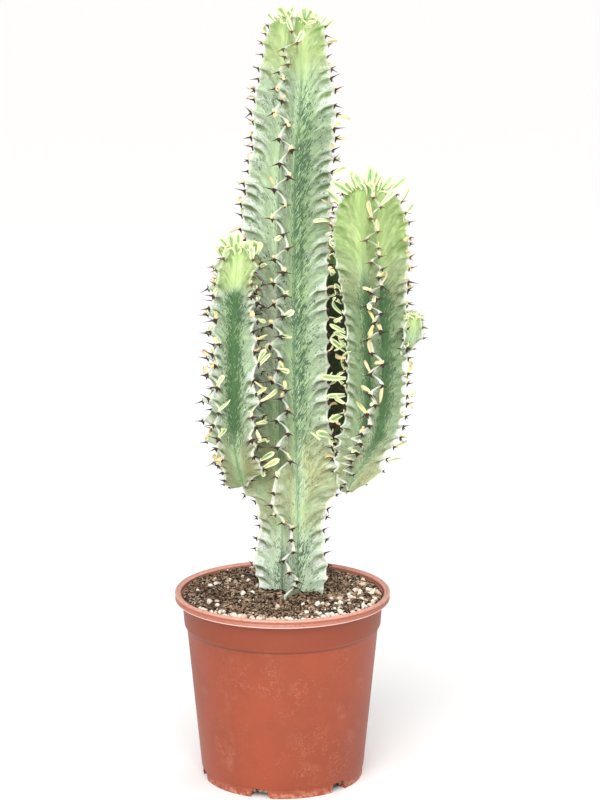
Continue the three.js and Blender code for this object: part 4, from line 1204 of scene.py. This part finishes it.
def pot_outline():
    """The outside from the middle of the underside, over the lip and down the inside."""
    lip, rim, inner = LIP_FOOT, RIM_RADIUS, RIM_RADIUS - LIP_WIDTH
    outside = [
        (0.01, 0), (PAD_RADIUS - 0.6, 0), (PAD_RADIUS, 0.2), (PAD_RADIUS + 1.5, FLOOR_RECESS),
        (FOOT_INNER - 1.5, FLOOR_RECESS), (FOOT_INNER - 0.3, 0.5), (FOOT_INNER + 0.3, 0),
        (FOOT_OUTER - 1.1, 0), (FOOT_OUTER - 0.5, 0.4),
        (FOOT_OUTER - 0.2, 2.5), (FOOT_OUTER - 0.1, 7.5), (FOOT_OUTER, WALL_FOOT[1] - 0.9),
        (WALL_FOOT[0] - 0.35, WALL_FOOT[1] - 0.3), (WALL_FOOT[0], WALL_FOOT[1] + 0.5),
    ]
    for share in (0.12, 0.25, 0.38, 0.5, 0.62, 0.75, 0.88, 0.97):
        outside.append((WALL_FOOT[0] + (STEP[0] - WALL_FOOT[0]) * share,
                        WALL_FOOT[1] + (STEP[1] - WALL_FOOT[1]) * share))
    outside += [
        (STEP[0] - 0.05, STEP[1] - 0.4), (STEP[0] + 0.25, STEP[1] + 0.3),
        (BAND_FOOT[0] - 0.5, BAND_FOOT[1] - 0.9), (BAND_FOOT[0] - 0.05, BAND_FOOT[1] + 0.1),
        (BAND_FOOT[0] + 0.15, BAND_FOOT[1] + 2), (96.6, 161), (97.1, 169),
        (BAND_TOP_RADIUS - 0.1, lip - 0.9), (BAND_TOP_RADIUS + 0.5, lip),
        (rim - 1.2, lip - 0.1), (rim - 0.5, lip + 0.1), (rim - 0.15, lip + 0.7),
        (rim - 0.25, lip + 1.5), (rim - 0.9, lip + 2.3), (rim - 1.6, lip + 3.1),
        (rim - 1.7, lip + 3.8), (rim - 1.1, lip + 4.6), (rim - 0.35, lip + 5.3),
        (rim, lip + 6.1), (rim - 0.1, lip + 7.0), (rim - 0.8, lip + 7.9),
        (rim - 1.9, lip + 8.35), (rim - 3.2, POT_HEIGHT), (rim - 4.6, POT_HEIGHT - 0.2),
        (inner, POT_HEIGHT - 0.8), (inner - 0.15, POT_HEIGHT - 2.2), (inner - 0.4, lip + 3),
    ]
    inside = [
        (BAND_TOP_RADIUS - WALL - 0.6, lip), (BAND_FOOT[0] - WALL, BAND_FOOT[1]),
        (STEP[0] - WALL, STEP[1]), (WALL_FOOT[0] - WALL - 1, FLOOR_RECESS + WALL),
        (PAD_RADIUS + 1, FLOOR_RECESS + WALL), (PAD_RADIUS - 1.5, WALL), (0.01, WALL),
    ]
    return outside + inside


def arch_bar(name, grow, foot, outer, turn):
    """A trapezoid bar along the radius, drawn out from a cube whose top is narrowed."""
    deselect()
    bpy.ops.mesh.primitive_cube_add(size=1)
    bar = named(name)
    places = coordinates(bar.data)
    width = np.where(places[:, 2] > 0, NOTCH_TOP_WIDTH, NOTCH_FOOT_WIDTH) + 2 * grow
    places[:, 0] *= width
    places[:, 1] = np.where(places[:, 1] > 0, NOTCH_DEPTH + grow - FOOT_INNER, -outer)
    places[:, 2] = np.where(places[:, 2] > 0, NOTCH_HEIGHT + grow, foot)
    move_points(bar.data, places * MM)
    bar.data.transform(Matrix.Rotation(math.radians(turn), 4, "Z"))
    return bar


def build_pot(settings):
    """The lathed pot, with a hump over each arch so that its wall goes on round the cut."""
    pot = lathe("culture_pot", pot_outline(), settings.sides)
    close_up(pot, 2e-5)
    humps, cuts = [], []
    for i in range(NOTCH_COUNT):
        turn = FIRST_NOTCH + 90 + i * 360 / NOTCH_COUNT
        humps.append(arch_bar(f"hump_{i}", WALL, FLOOR_RECESS + 0.2, FOOT_OUTER - 0.9, turn))
        cuts.append(arch_bar(f"cut_{i}", 0, -1, FOOT_OUTER + 8, turn))
    hump, cut = joined("humps", humps), joined("cuts", cuts)
    for tool, operation in ((hump, "UNION"), (cut, "DIFFERENCE")):
        apply_modifier(pot, "BOOLEAN", operation=operation, solver="EXACT", object=tool)
    discard(hump, cut)
    edit_all(pot, lambda: bpy.ops.mesh.remove_doubles(threshold=2e-6))
    nick_lip(pot)
    soften(pot, 35)
    hand_over(pot, pot_material(settings), "pot")


def nick_lip(pot):
    """A shallow mould seam across the lip."""
    places = coordinates(pot.data)
    azimuth = np.degrees(np.arctan2(places[:, 1], places[:, 0]))
    radius = np.hypot(places[:, 0], places[:, 1])
    near = np.exp(-(azimuth - MOULD_SEAM) ** 2)
    lip = (places[:, 2] > (LIP_FOOT - 0.1) * MM) & (radius > (RIM_RADIUS - 2.5) * MM)
    share = 1 - 0.009 * near * lip
    places[:, :2] *= share[:, None]
    move_points(pot.data, places)


def soil_height(x, y):
    """The soil's surface above its level, in millimetres, as a function of place."""
    r = np.hypot(x, y)
    mound = SOIL_MOUND * np.exp(-(np.hypot(x - STEM_OFFSET, y) / 45) ** 2)
    rolls = sum(size * np.sin(x * a + y * b + c) for size, a, b, c in (
        (0.6, 0.09, 0.05, 1.0), (0.5, -0.07, 0.11, 2.4), (0.35, 0.21, -0.15, 0.3),
        (0.3, 0.17, 0.27, 4.0)))
    return mound + rolls - 1.2 * smooth(SOIL_RADIUS - 11, SOIL_RADIUS, r)


def build_soil(settings):
    """The surface is a fine disc of rings; its sides follow the pot's inside down to the floor."""
    gap = WALL + 0.4
    edge = BAND_TOP_RADIUS - gap
    wall = [(0.0, SOIL_FLOOR), (WALL_FOOT[0] - WALL - 2, SOIL_FLOOR), (STEP[0] - gap, STEP[1]),
            (BAND_FOOT[0] - gap, BAND_FOOT[1]), (edge, LIP_FOOT)]
    radii = np.concatenate([[r for r, _ in wall], np.linspace(edge + 1.6, 0, SOIL_RINGS)])
    levels = np.concatenate([[z for _, z in wall], np.full(SOIL_RINGS, SOIL_LEVEL)])
    angle = np.linspace(0, 2 * np.pi, SOIL_SIDES + 1)
    x, y = radii[:, None] * np.cos(angle), radii[:, None] * np.sin(angle)
    z = np.repeat(levels[:, None], SOIL_SIDES + 1, 1)
    top = np.arange(len(radii)) >= len(wall)
    z[top] += soil_height(x[top], y[top])
    soil = roll_sheet("peat_surface", np.stack([x, y, z], -1) * MM)
    for name, size, strength in (("peat_lumps", 0.009, 0.0046), ("peat_crumbs", 0.003, 0.003)):
        pattern = bpy.data.textures.new(name, "CLOUDS")
        pattern.noise_scale = size
        pattern.noise_depth = 3
        places = coordinates(soil.data)
        loose = ((places[:, 2] > (LIP_FOOT + 1.6) * MM)
                 & (np.hypot(places[:, 0], places[:, 1]) < (SOIL_RADIUS - 0.5) * MM))
        group = soil.vertex_groups.new(name=name)
        group.add(np.flatnonzero(loose).tolist(), 1.0, "REPLACE")
        apply_modifier(soil, "DISPLACE", texture=pattern, strength=strength, mid_level=0.5,
                       texture_coords="LOCAL", direction="Z", vertex_group=name)
    soften(soil, 60)
    hand_over(soil, soil_material("peat", settings), "soil")


def lump(name, seed):
    """An irregular little stone: an icosphere whose points are drawn in and out."""
    deselect()
    bpy.ops.mesh.primitive_ico_sphere_add(subdivisions=1, radius=1)
    stone = named(name)
    draw = np.random.default_rng(seed)
    places = coordinates(stone.data)
    places *= draw.uniform(0.72, 1.15, (len(places), 1))
    places *= draw.uniform(0.75, 1.1, 3)
    move_points(stone.data, places)
    return stone


def scatter_stones(name, templates, count, draw, size, place, sink):
    """Copies of stones, each turned, sized and laid on the soil."""
    copies = []
    while len(copies) < count:
        x, y = place(draw)
        at_stem = math.hypot(x - STEM_OFFSET, y) < STEM_CLEARANCE and draw.random() < 0.93
        if math.hypot(x, y) > SOIL_RADIUS - 0.5 or at_stem:
            continue
        scale = size(draw)
        copy = copy_of(templates[draw.integers(len(templates))], f"{name}_{len(copies)}")
        turn = Matrix.Rotation(draw.uniform(0, 6.28), 4, "Z") @ Matrix.Rotation(
            draw.uniform(0, 6.28), 4, "X")
        z = SOIL_LEVEL + soil_height(x, y) + scale * sink
        copy.data.transform(Matrix.Translation(Vector((x, y, z)) * MM)
                            @ Matrix.Scale(scale * MM, 4) @ turn)
        set_numbers(copy.data, "tone", (draw.random(), 0, 0))
        copies.append(copy)
    return joined(name, copies)


def over_disc(draw):
    """A place anywhere on the soil."""
    r, angle = SOIL_RADIUS * math.sqrt(draw.random()), draw.uniform(0, 2 * math.pi)
    return r * math.cos(angle), r * math.sin(angle)


def over_grain_beds(draw):
    """Grains lie thickest along the front rim and in a bed to the right of the stem."""
    kind = draw.random()
    if kind < 0.48:
        r, angle = SOIL_RADIUS - abs(draw.normal(0, 4)), math.radians(draw.normal(-88, 36))
    elif kind < 0.7:
        r, angle = draw.uniform(58, 95), math.radians(draw.normal(-22, 20))
    else:
        return over_disc(draw)
    return r * math.cos(angle), r * math.sin(angle)


def build_loose_soil(settings):
    """Peat crumbs, pumice grains and fibres lying on the soil."""
    stones = [lump(f"stone_{i}", STONE_SEED + i) for i in range(STONE_KINDS)]
    draw = np.random.default_rng(SOIL_SEED)
    crumbs = scatter_stones("peat_crumbs", stones, settings.crumbs, draw,
                            lambda d: 0.7 + 1.7 * d.random() ** 2.2, over_disc, 0.35)
    hand_over(crumbs, soil_material("peat_crumb", settings, 2.0))
    grains = scatter_stones("pumice_grains", stones, settings.grains, draw,
                            lambda d: 0.8 + 2.8 * d.random() ** 2, over_grain_beds, 0.35)
    soften(grains, 30)
    hand_over(grains, pumice_material(settings))
    discard(*stones)
    fibres = build_fibres(settings, draw)
    hand_over(fibres, soil_material("peat_fibre", settings, 0.6))


def build_fibres(settings, draw):
    """Thin bent strands, thickest in a clump to the right of the stem."""
    deselect()
    bpy.ops.mesh.primitive_cylinder_add(vertices=4, radius=1, depth=1, end_fill_type="NGON")
    strand = named("strand")
    edit_all(strand, lambda: bpy.ops.mesh.subdivide(number_cuts=5))
    flat = coordinates(strand.data)
    copies = []
    while len(copies) < settings.fibres:
        if draw.random() < 0.55:
            x, y = draw.normal(52, 8), draw.normal(-30, 10)
        else:
            x, y = over_disc(draw)
        at_stem = math.hypot(x - STEM_OFFSET, y) < STEM_CLEARANCE - 2
        if math.hypot(x, y) > SOIL_RADIUS - 9 or at_stem:
            continue
        length, angle = draw.uniform(5, 16), draw.uniform(0, 2 * math.pi)
        bend, thick = draw.normal(0, 0.09), draw.uniform(0.2, 0.42)
        arch = draw.uniform(0.02, 0.09)
        along = flat[:, 2] * length
        aside = bend * along ** 2 + thick * flat[:, 0]
        px = x + math.cos(angle) * along - math.sin(angle) * aside
        py = y + math.sin(angle) * along + math.cos(angle) * aside
        rise = np.maximum(0, arch * (length ** 2 / 4 - along ** 2))
        pz = SOIL_LEVEL + soil_height(px, py) + 0.5 + thick * flat[:, 1] + rise
        if (np.hypot(px, py) > SOIL_RADIUS - 1).any():
            continue
        copy = copy_of(strand, f"fibre_{len(copies)}")
        move_points(copy.data, np.stack([px, py, pz], -1) * MM)
        copies.append(copy)
    discard(strand)
    return joined("peat_fibres", copies)


def build_stem(stem, skin):
    """A stem's skin, rolled up from a sheet."""
    points, (flow, zone, tint) = stem.surface()
    piece = roll_sheet(f"{stem.name}_skin", points, flow=flow, zone=zone, tint=tint)
    soften(piece, 70)
    hand_over(piece, skin_material(f"{stem.name}_skin", skin), stem.name)


def shield_template():
    """A horny shield, wide at the top and drawn out into a tail below."""
    deselect()
    bpy.ops.mesh.primitive_ico_sphere_add(subdivisions=2, radius=1)
    pad = named("shield")
    places = coordinates(pad.data)
    low = np.clip(-places[:, 2], 0, 1)
    places[:, 1] *= 1 - 0.72 * low ** 0.8
    places *= (1.0, 2.4, 1.45)
    places[:, 2] -= 2.8 * low ** 1.6
    places[:, 0] -= 0.8 * low
    move_points(pad.data, places)
    set_numbers(pad.data, "blade", (0, 0, 0))
    return pad


def spine_template():
    """A spine of unit length along Z that thins to its tip."""
    deselect()
    bpy.ops.mesh.primitive_cone_add(vertices=5, radius1=1, radius2=0.12, depth=1,
                                    location=(0, 0, 0.5))
    spine = named("spine")
    apply_place(spine)
    edit_all(spine, lambda: bpy.ops.mesh.subdivide(number_cuts=1))
    places = coordinates(spine.data)
    wide = np.hypot(places[:, 0], places[:, 1])
    along = places[:, 2]
    target = np.clip(1 - along ** 0.8, 0.1, 1) * (wide > 1e-4)
    places[:, :2] *= (target / np.maximum(wide, 1e-6))[:, None]
    move_points(spine.data, places)
    set_numbers(spine.data, "blade", np.stack([along, along * 0, along * 0], -1))
    return spine


def axes_matrix(x, y, z, origin, scale):
    """A transform with the given axes, origin in millimetres and scales."""
    made = Matrix.Identity(4)
    for column, (axis, size) in enumerate(zip((x, y, z), scale)):
        for row in range(3):
            made[row][column] = float(axis[row]) * size * MM
    for row in range(3):
        made[row][3] = float(origin[row]) * MM
    return made


def build_spines(stem, settings):
    """A shield at each turn of a rib's edge, with two spines that stand apart."""
    pad, spine = shield_template(), spine_template()
    copies = []
    for rib in range(RIBS):
        for index in range(len(stem.shield_z[rib])):
            luck = chance(stem.foot, rib, index, np.arange(40, 52))
            z, place, out, across = stem.shield(rib, index)
            young = float(smooth(*stem.young, z))
            size = stem.shield_size(z) * (1 - 0.3 * young) * (0.85 + 0.3 * luck[0])
            size *= 1 - 0.2 * float(smooth(345, 300, z))
            lean = np.clip(stem.shield_swing[rib][index] / RIB_SWING, -1.6, 1.6)
            facing = unit(out + 0.3 * lean * across + 0.15 * (luck[1] - 0.5) * UP)
            side = unit(np.cross(UP, facing))
            side = unit(side + (0.9 * (luck[2] - 0.5) - 0.12 * lean) * UP)
            rise = unit(np.cross(facing, side))
            root = place + 0.1 * facing
            tone = (young, luck[3], 0)
            copy = copy_of(pad, "shield_copy")
            copy.data.transform(axes_matrix(facing, side, rise, root,
                                            (size, size * (0.8 + 0.4 * luck[4]), size)))
            set_numbers(copy.data, "tone", tone)
            copies.append(copy)
            for hand in (-1, 1):
                length = SPINE_LENGTH * (0.8 + 0.45 * luck[6 + hand]) * size
                lift = 0.9 * (luck[8 + hand] - 0.45)
                way = unit(0.7 * facing + 0.8 * hand * side + lift * UP)
                other = unit(np.cross(way, UP))
                thick = settings.thickness / MM / 2 * (0.7 + 0.3 * size)
                copy = copy_of(spine, "spine_copy")
                copy.data.transform(axes_matrix(
                    other, np.cross(way, other), way, root + 1.2 * hand * size * side,
                    (thick, thick, length)))
                set_numbers(copy.data, "tone", tone)
                copies.append(copy)
    discard(pad, spine)
    piece = joined(f"{stem.name}_spines", copies)
    edit_all(piece, lambda: bpy.ops.mesh.normals_make_consistent(inside=False))
    soften(piece, 50)
    hand_over(piece, spine_material(f"{stem.name}_spines", settings))


def leaf_template():
    """A spoon-shaped blade of unit length along Y and unit width along X, slightly channelled."""
    deselect()
    bpy.ops.mesh.primitive_grid_add(x_subdivisions=4, y_subdivisions=7, size=1)
    leaf = named("leaf")
    places = coordinates(leaf.data)
    across, along = 2 * places[:, 0], places[:, 1] + 0.5
    wide = through([(0, 0.4), (0.2, 0.62), (0.45, 0.9), (0.65, 1), (0.84, 0.92), (0.95, 0.62),
                    (1, 0.2)])(along)
    places[:, 0] = across * wide / 2
    places[:, 1] = along
    places[:, 2] = 0.12 * wide * across ** 2
    move_points(leaf.data, places)
    set_numbers(leaf.data, "blade", np.stack([np.abs(across), along, along * 0], -1))
    return leaf


def lay_leaf(template, root, way, side, length, width, bend, dry, tone, twist):
    """A copy of the leaf, bent along an arc away from the way that it points."""
    copy = copy_of(template, "leaf_copy")
    flat = coordinates(copy.data)
    along = flat[:, 1]
    face = unit(np.cross(way, side))
    bend = bend if abs(bend) > STRAIGHT else STRAIGHT
    angle = bend * along
    middle = (way * (np.sin(angle) / bend)[:, None] + face * ((1 - np.cos(angle)) / bend)[:, None])
    normal = face * np.cos(angle)[:, None] - way * np.sin(angle)[:, None]
    turn = twist * along
    flank = side * np.cos(turn)[:, None] + normal * np.sin(turn)[:, None]
    normal = normal * np.cos(turn)[:, None] - side * np.sin(turn)[:, None]
    places = root + middle * length + flank * (flat[:, 0] * width)[:, None]
    places += normal * (flat[:, 2] * width)[:, None]
    move_points(copy.data, places * MM)
    set_numbers(copy.data, "tone", (dry, tone, 0))
    return copy


def shown_leaf(template, root, span, width, dry, draw):
    """A leaf from a place along a span, with its face to the front. The wide ones curl less."""
    way = unit(np.array(span, float))
    side = rolled(unit(np.cross(way, (0, -1, 0.25))), way, draw.normal(0, 0.35))
    curl = 1.0 if width > 5 else 2.0
    return lay_leaf(template, root, way, side, np.linalg.norm(span) * 1.1, width,
                    curl * draw.uniform(-1.0, 1.0), dry, draw.random(),
                    curl * draw.normal(0, 0.5))


def wild_leaf(stem, template, rib, index, length, width, bend, dry, draw):
    """A smaller leaf from just above a shield, turned as it happens."""
    _, place, out, across = stem.shield(rib, index)
    aside, rise = draw.uniform(-0.7, 0.7), draw.uniform(-0.15, 0.75)
    way = unit(draw.uniform(0.5, 1) * out + aside * across + rise * UP)
    side = rolled(unit(np.cross(UP, way) + 0.1 * across), way, draw.uniform(-0.6, 0.6))
    return lay_leaf(template, place + 1.8 * UP - 0.8 * out, way, side, length, width, bend, dry,
                    draw.random(), 0.8 * aside)


def build_leaves(stem, settings):
    """The leaves on a stem's shields and the young ones round its growing point."""
    template = leaf_template()
    draw = np.random.default_rng(stem.foot)
    copies = []
    taken = set()
    for at, rib, span, width, dry in CHOSEN_LEAVES.get(stem.name, []):
        if span[0] < -12 and width < 6:  # narrow leaves that cross the gap vary in length and rise
            span = np.array(span) * draw.uniform(0.55, 1.0) + draw.normal(0, (1, 1, 5))
        index = stem.nearest(rib, at)
        taken.add((rib, index))
        _, place, out, _ = stem.shield(rib, index)
        root = place + (at - stem.shield_z[rib][index] + 1) * UP - 0.6 * out
        copies.append(shown_leaf(template, root, span, width, dry, draw))
    for ribs, (low, high), share, (short, long), width, (least, most), dried in (
            SMALL_LEAVES.get(stem.name, [])):
        for rib in ribs:
            for index, z in enumerate(stem.shield_z[rib]):
                if draw.random() > share or not low < z < high or (rib, index) in taken:
                    continue
                hand = 1 if draw.random() < 0.5 else -1
                dry = 1.0 if draw.random() < dried else 0.15 * draw.random()
                copies.append(wild_leaf(stem, template, rib, index, draw.uniform(short, long),
                                        width * draw.uniform(0.75, 1.25),
                                        hand * draw.uniform(least, most), dry, draw))
    copies += crown_leaves(stem, template, draw)
    discard(template)
    piece = joined(f"{stem.name}_leaves", copies)
    apply_modifier(piece, "SOLIDIFY", thickness=settings.thickness, offset=0)
    piece = joined(f"{stem.name}_leaves", [piece, *leaf_scars(stem, draw)])
    soften(piece, 60)
    hand_over(piece, leaf_material(f"{stem.name}_leaves", settings))


def leaf_scars(stem, draw):
    """Small pale knobs above the shields, where a leaf has dropped or is about to grow."""
    knob = lump("knob", KNOB_SEED)
    copies = []
    for rib in range(RIBS):
        for index, z in enumerate(stem.shield_z[rib]):
            if draw.random() < 0.5:
                continue
            _, place, out, across = stem.shield(rib, index)
            size = stem.shield_size(z) * draw.uniform(0.8, 1.35)
            copy = copy_of(knob, "knob_copy")
            root = place + 2.2 * size * UP - 0.5 * out + draw.normal(0, 0.5) * across
            rise = unit(UP + draw.normal(0, 0.4) * across)
            side = unit(np.cross(rise, out))
            copy.data.transform(axes_matrix(np.cross(side, rise), side, rise, root,
                                            (0.9 * size, 1.1 * size, 1.7 * size)))
            set_numbers(copy.data, "blade", (1, 0.4, 0))
            dry = 0.25 * draw.random() if draw.random() < 0.7 else 0.9
            set_numbers(copy.data, "tone", (dry, draw.random(), 0))
            copies.append(copy)
    discard(knob)
    return copies


def crown_leaves(stem, template, draw):
    """The young leaves: those that the front shows, and a ring of shorter ones behind them."""
    tip = stem.centre(stem.top)
    copies = [shown_leaf(template, tip + np.array(root, float) - 1.5 * UP,
                         0.87 * np.array(span, float), 1.55 * width, 0.0, draw)
              for root, span, width in CROWN_LEAVES.get(stem.name, [])]
    count, length, width = stem.crown
    reach = 1.6 * float(stem.valley(stem.top - CROWN_DEPTH))
    for i in range(count):
        azimuth = i * GOLDEN_ANGLE + 20 * float(spread(stem.foot, i, 3))
        share = math.sqrt((i + 0.6) / count)
        out = azimuth_way(azimuth)
        root = stem.centre(stem.top - CROWN_DEPTH + 3 * (1 - share)) + reach * share * out
        way = unit((0.12 + 0.95 * share) * out + UP)
        side = rolled(azimuth_way(azimuth + 90.0), way, draw.normal(0, 0.8))
        size = length * (0.7 + 0.35 * float(chance(stem.foot, i, 5))) + CROWN_DEPTH
        copies.append(lay_leaf(template, root, way, side, 0.8 * size,
                               width * draw.uniform(1.0, 1.5),
                               -draw.uniform(0.2, 1.3), 0.0, draw.uniform(0, 0.7),
                               draw.normal(0, 0.5)))
    return copies


def build_stage(stage):
    """A plain pale floor, soft lights and the camera. Each lamp has its name, its kind, its
    power, its angle or width, and its place."""
    deselect()
    bpy.ops.mesh.primitive_plane_add(size=60)
    floor = named("floor")
    make = Recipe("floor")
    floor.data.materials.append(make.finish(stage.floor, 0.9))
    world = bpy.context.scene.world or bpy.data.worlds.new("surroundings")
    bpy.context.scene.world = world
    world.use_nodes = True
    sky = world.node_tree.nodes["Background"]
    sky.inputs["Color"].default_value = (1, 1, 1, 1)
    sky.inputs["Strength"].default_value = stage.sky
    bpy.context.scene.view_settings.view_transform = "Standard"
    for name, kind, power, spread_out, place in (
            ("key_light", "SUN", stage.key, math.radians(55), (-0.4, -1.52, 1.65)),
            ("front_light", "AREA", stage.front, 1.6, (0.0, -2.3, 1.1)),
            ("fill_light", "AREA", stage.fill, 1.2, (1.6, -1.1, 1.2)),
            ("back_light", "AREA", stage.fill, 1.0, (0.7, 1.6, 1.9))):
        lamp = bpy.data.lights.new(name, kind)
        lamp.energy = power
        setattr(lamp, "angle" if kind == "SUN" else "size", spread_out)
        holder = bpy.data.objects.new(name, lamp)
        holder.location = place
        aim = Vector((0, 0, AIM_HEIGHT)) - Vector(place)
        holder.rotation_euler = aim.to_track_quat("-Z", "Y").to_euler()
        bpy.context.scene.collection.objects.link(holder)
    lens = bpy.data.cameras.new("camera")
    lens.sensor_width = SENSOR
    lens.lens = LENS
    lens.clip_end = 100
    camera = bpy.data.objects.new("camera", lens)
    camera.location = (CAMERA_SIDE, -stage.distance, CAMERA_HEIGHT)
    camera.rotation_euler = (math.radians(90 - CAMERA_TILT), 0, 0)
    bpy.context.scene.collection.objects.link(camera)
    bpy.context.scene.camera = camera


# ---- operators ----

class BuildPot(bpy.types.Operator):
    """Builds the pot with its lip, band, feet and arches"""
    bl_idname = "euphorbia.pot"
    bl_label = "Pot"

    def execute(self, context):
        build_pot(context.scene.euphorbia_pot)
        return {"FINISHED"}


class BuildSoil(bpy.types.Operator):
    """Builds the soil and what lies loose on it"""
    bl_idname = "euphorbia.soil"
    bl_label = "Soil"

    def execute(self, context):
        build_soil(context.scene.euphorbia_soil)
        build_loose_soil(context.scene.euphorbia_soil)
        return {"FINISHED"}


class BuildStems(bpy.types.Operator):
    """Builds the skin of the five stems"""
    bl_idname = "euphorbia.stems"
    bl_label = "Stems"

    def execute(self, context):
        for stem in STEMS:
            build_stem(stem, context.scene.euphorbia_skin)
        return {"FINISHED"}


class BuildSpines(bpy.types.Operator):
    """Builds the shields and spines along the ribs"""
    bl_idname = "euphorbia.spines"
    bl_label = "Spines"

    def execute(self, context):
        for stem in STEMS:
            build_spines(stem, context.scene.euphorbia_spines)
        return {"FINISHED"}


class BuildLeaves(bpy.types.Operator):
    """Builds the leaves along the ribs and round the growing points"""
    bl_idname = "euphorbia.leaves"
    bl_label = "Leaves"

    def execute(self, context):
        for stem in STEMS:
            build_leaves(stem, context.scene.euphorbia_leaves)
        return {"FINISHED"}


class BuildStage(bpy.types.Operator):
    """Builds the floor, the lights and the camera"""
    bl_idname = "euphorbia.stage"
    bl_label = "Stage"

    def execute(self, context):
        build_stage(context.scene.euphorbia_stage)
        return {"FINISHED"}


class EuphorbiaPanel(bpy.types.Panel):
    """Lists the settings and the pieces in the 3D view's sidebar"""
    bl_idname = "VIEW3D_PT_euphorbia"
    bl_label = "Potted Euphorbia"
    bl_space_type = "VIEW_3D"
    bl_region_type = "UI"
    bl_category = "Euphorbia"

    def draw(self, context):
        for operator, settings in zip(OPERATORS, GROUP_NAMES):
            box = self.layout.box()
            group = getattr(context.scene, settings)
            for key in group.__annotations__:
                box.prop(group, key)
            box.operator(operator.bl_idname)


SETTINGS = {
    "euphorbia_pot": PotSettings,
    "euphorbia_soil": SoilSettings,
    "euphorbia_skin": SkinSettings,
    "euphorbia_spines": SpineSettings,
    "euphorbia_leaves": LeafSettings,
    "euphorbia_stage": StageSettings,
}
GROUP_NAMES = tuple(SETTINGS)
OPERATORS = (BuildPot, BuildSoil, BuildStems, BuildSpines, BuildLeaves, BuildStage)
CLASSES = (*SETTINGS.values(), *OPERATORS, EuphorbiaPanel)


def register():
    for made in CLASSES:
        bpy.utils.register_class(made)
    for name, group in SETTINGS.items():
        setattr(bpy.types.Scene, name, bpy.props.PointerProperty(type=group))


def unregister():
    for name in SETTINGS:
        delattr(bpy.types.Scene, name)
    for made in reversed(CLASSES):
        bpy.utils.unregister_class(made)


def main():
    register()
    for operator in OPERATORS:
        group, name = operator.bl_idname.split(".")
        getattr(getattr(bpy.ops, group), name)()


if __name__ == "__main__":
    main()
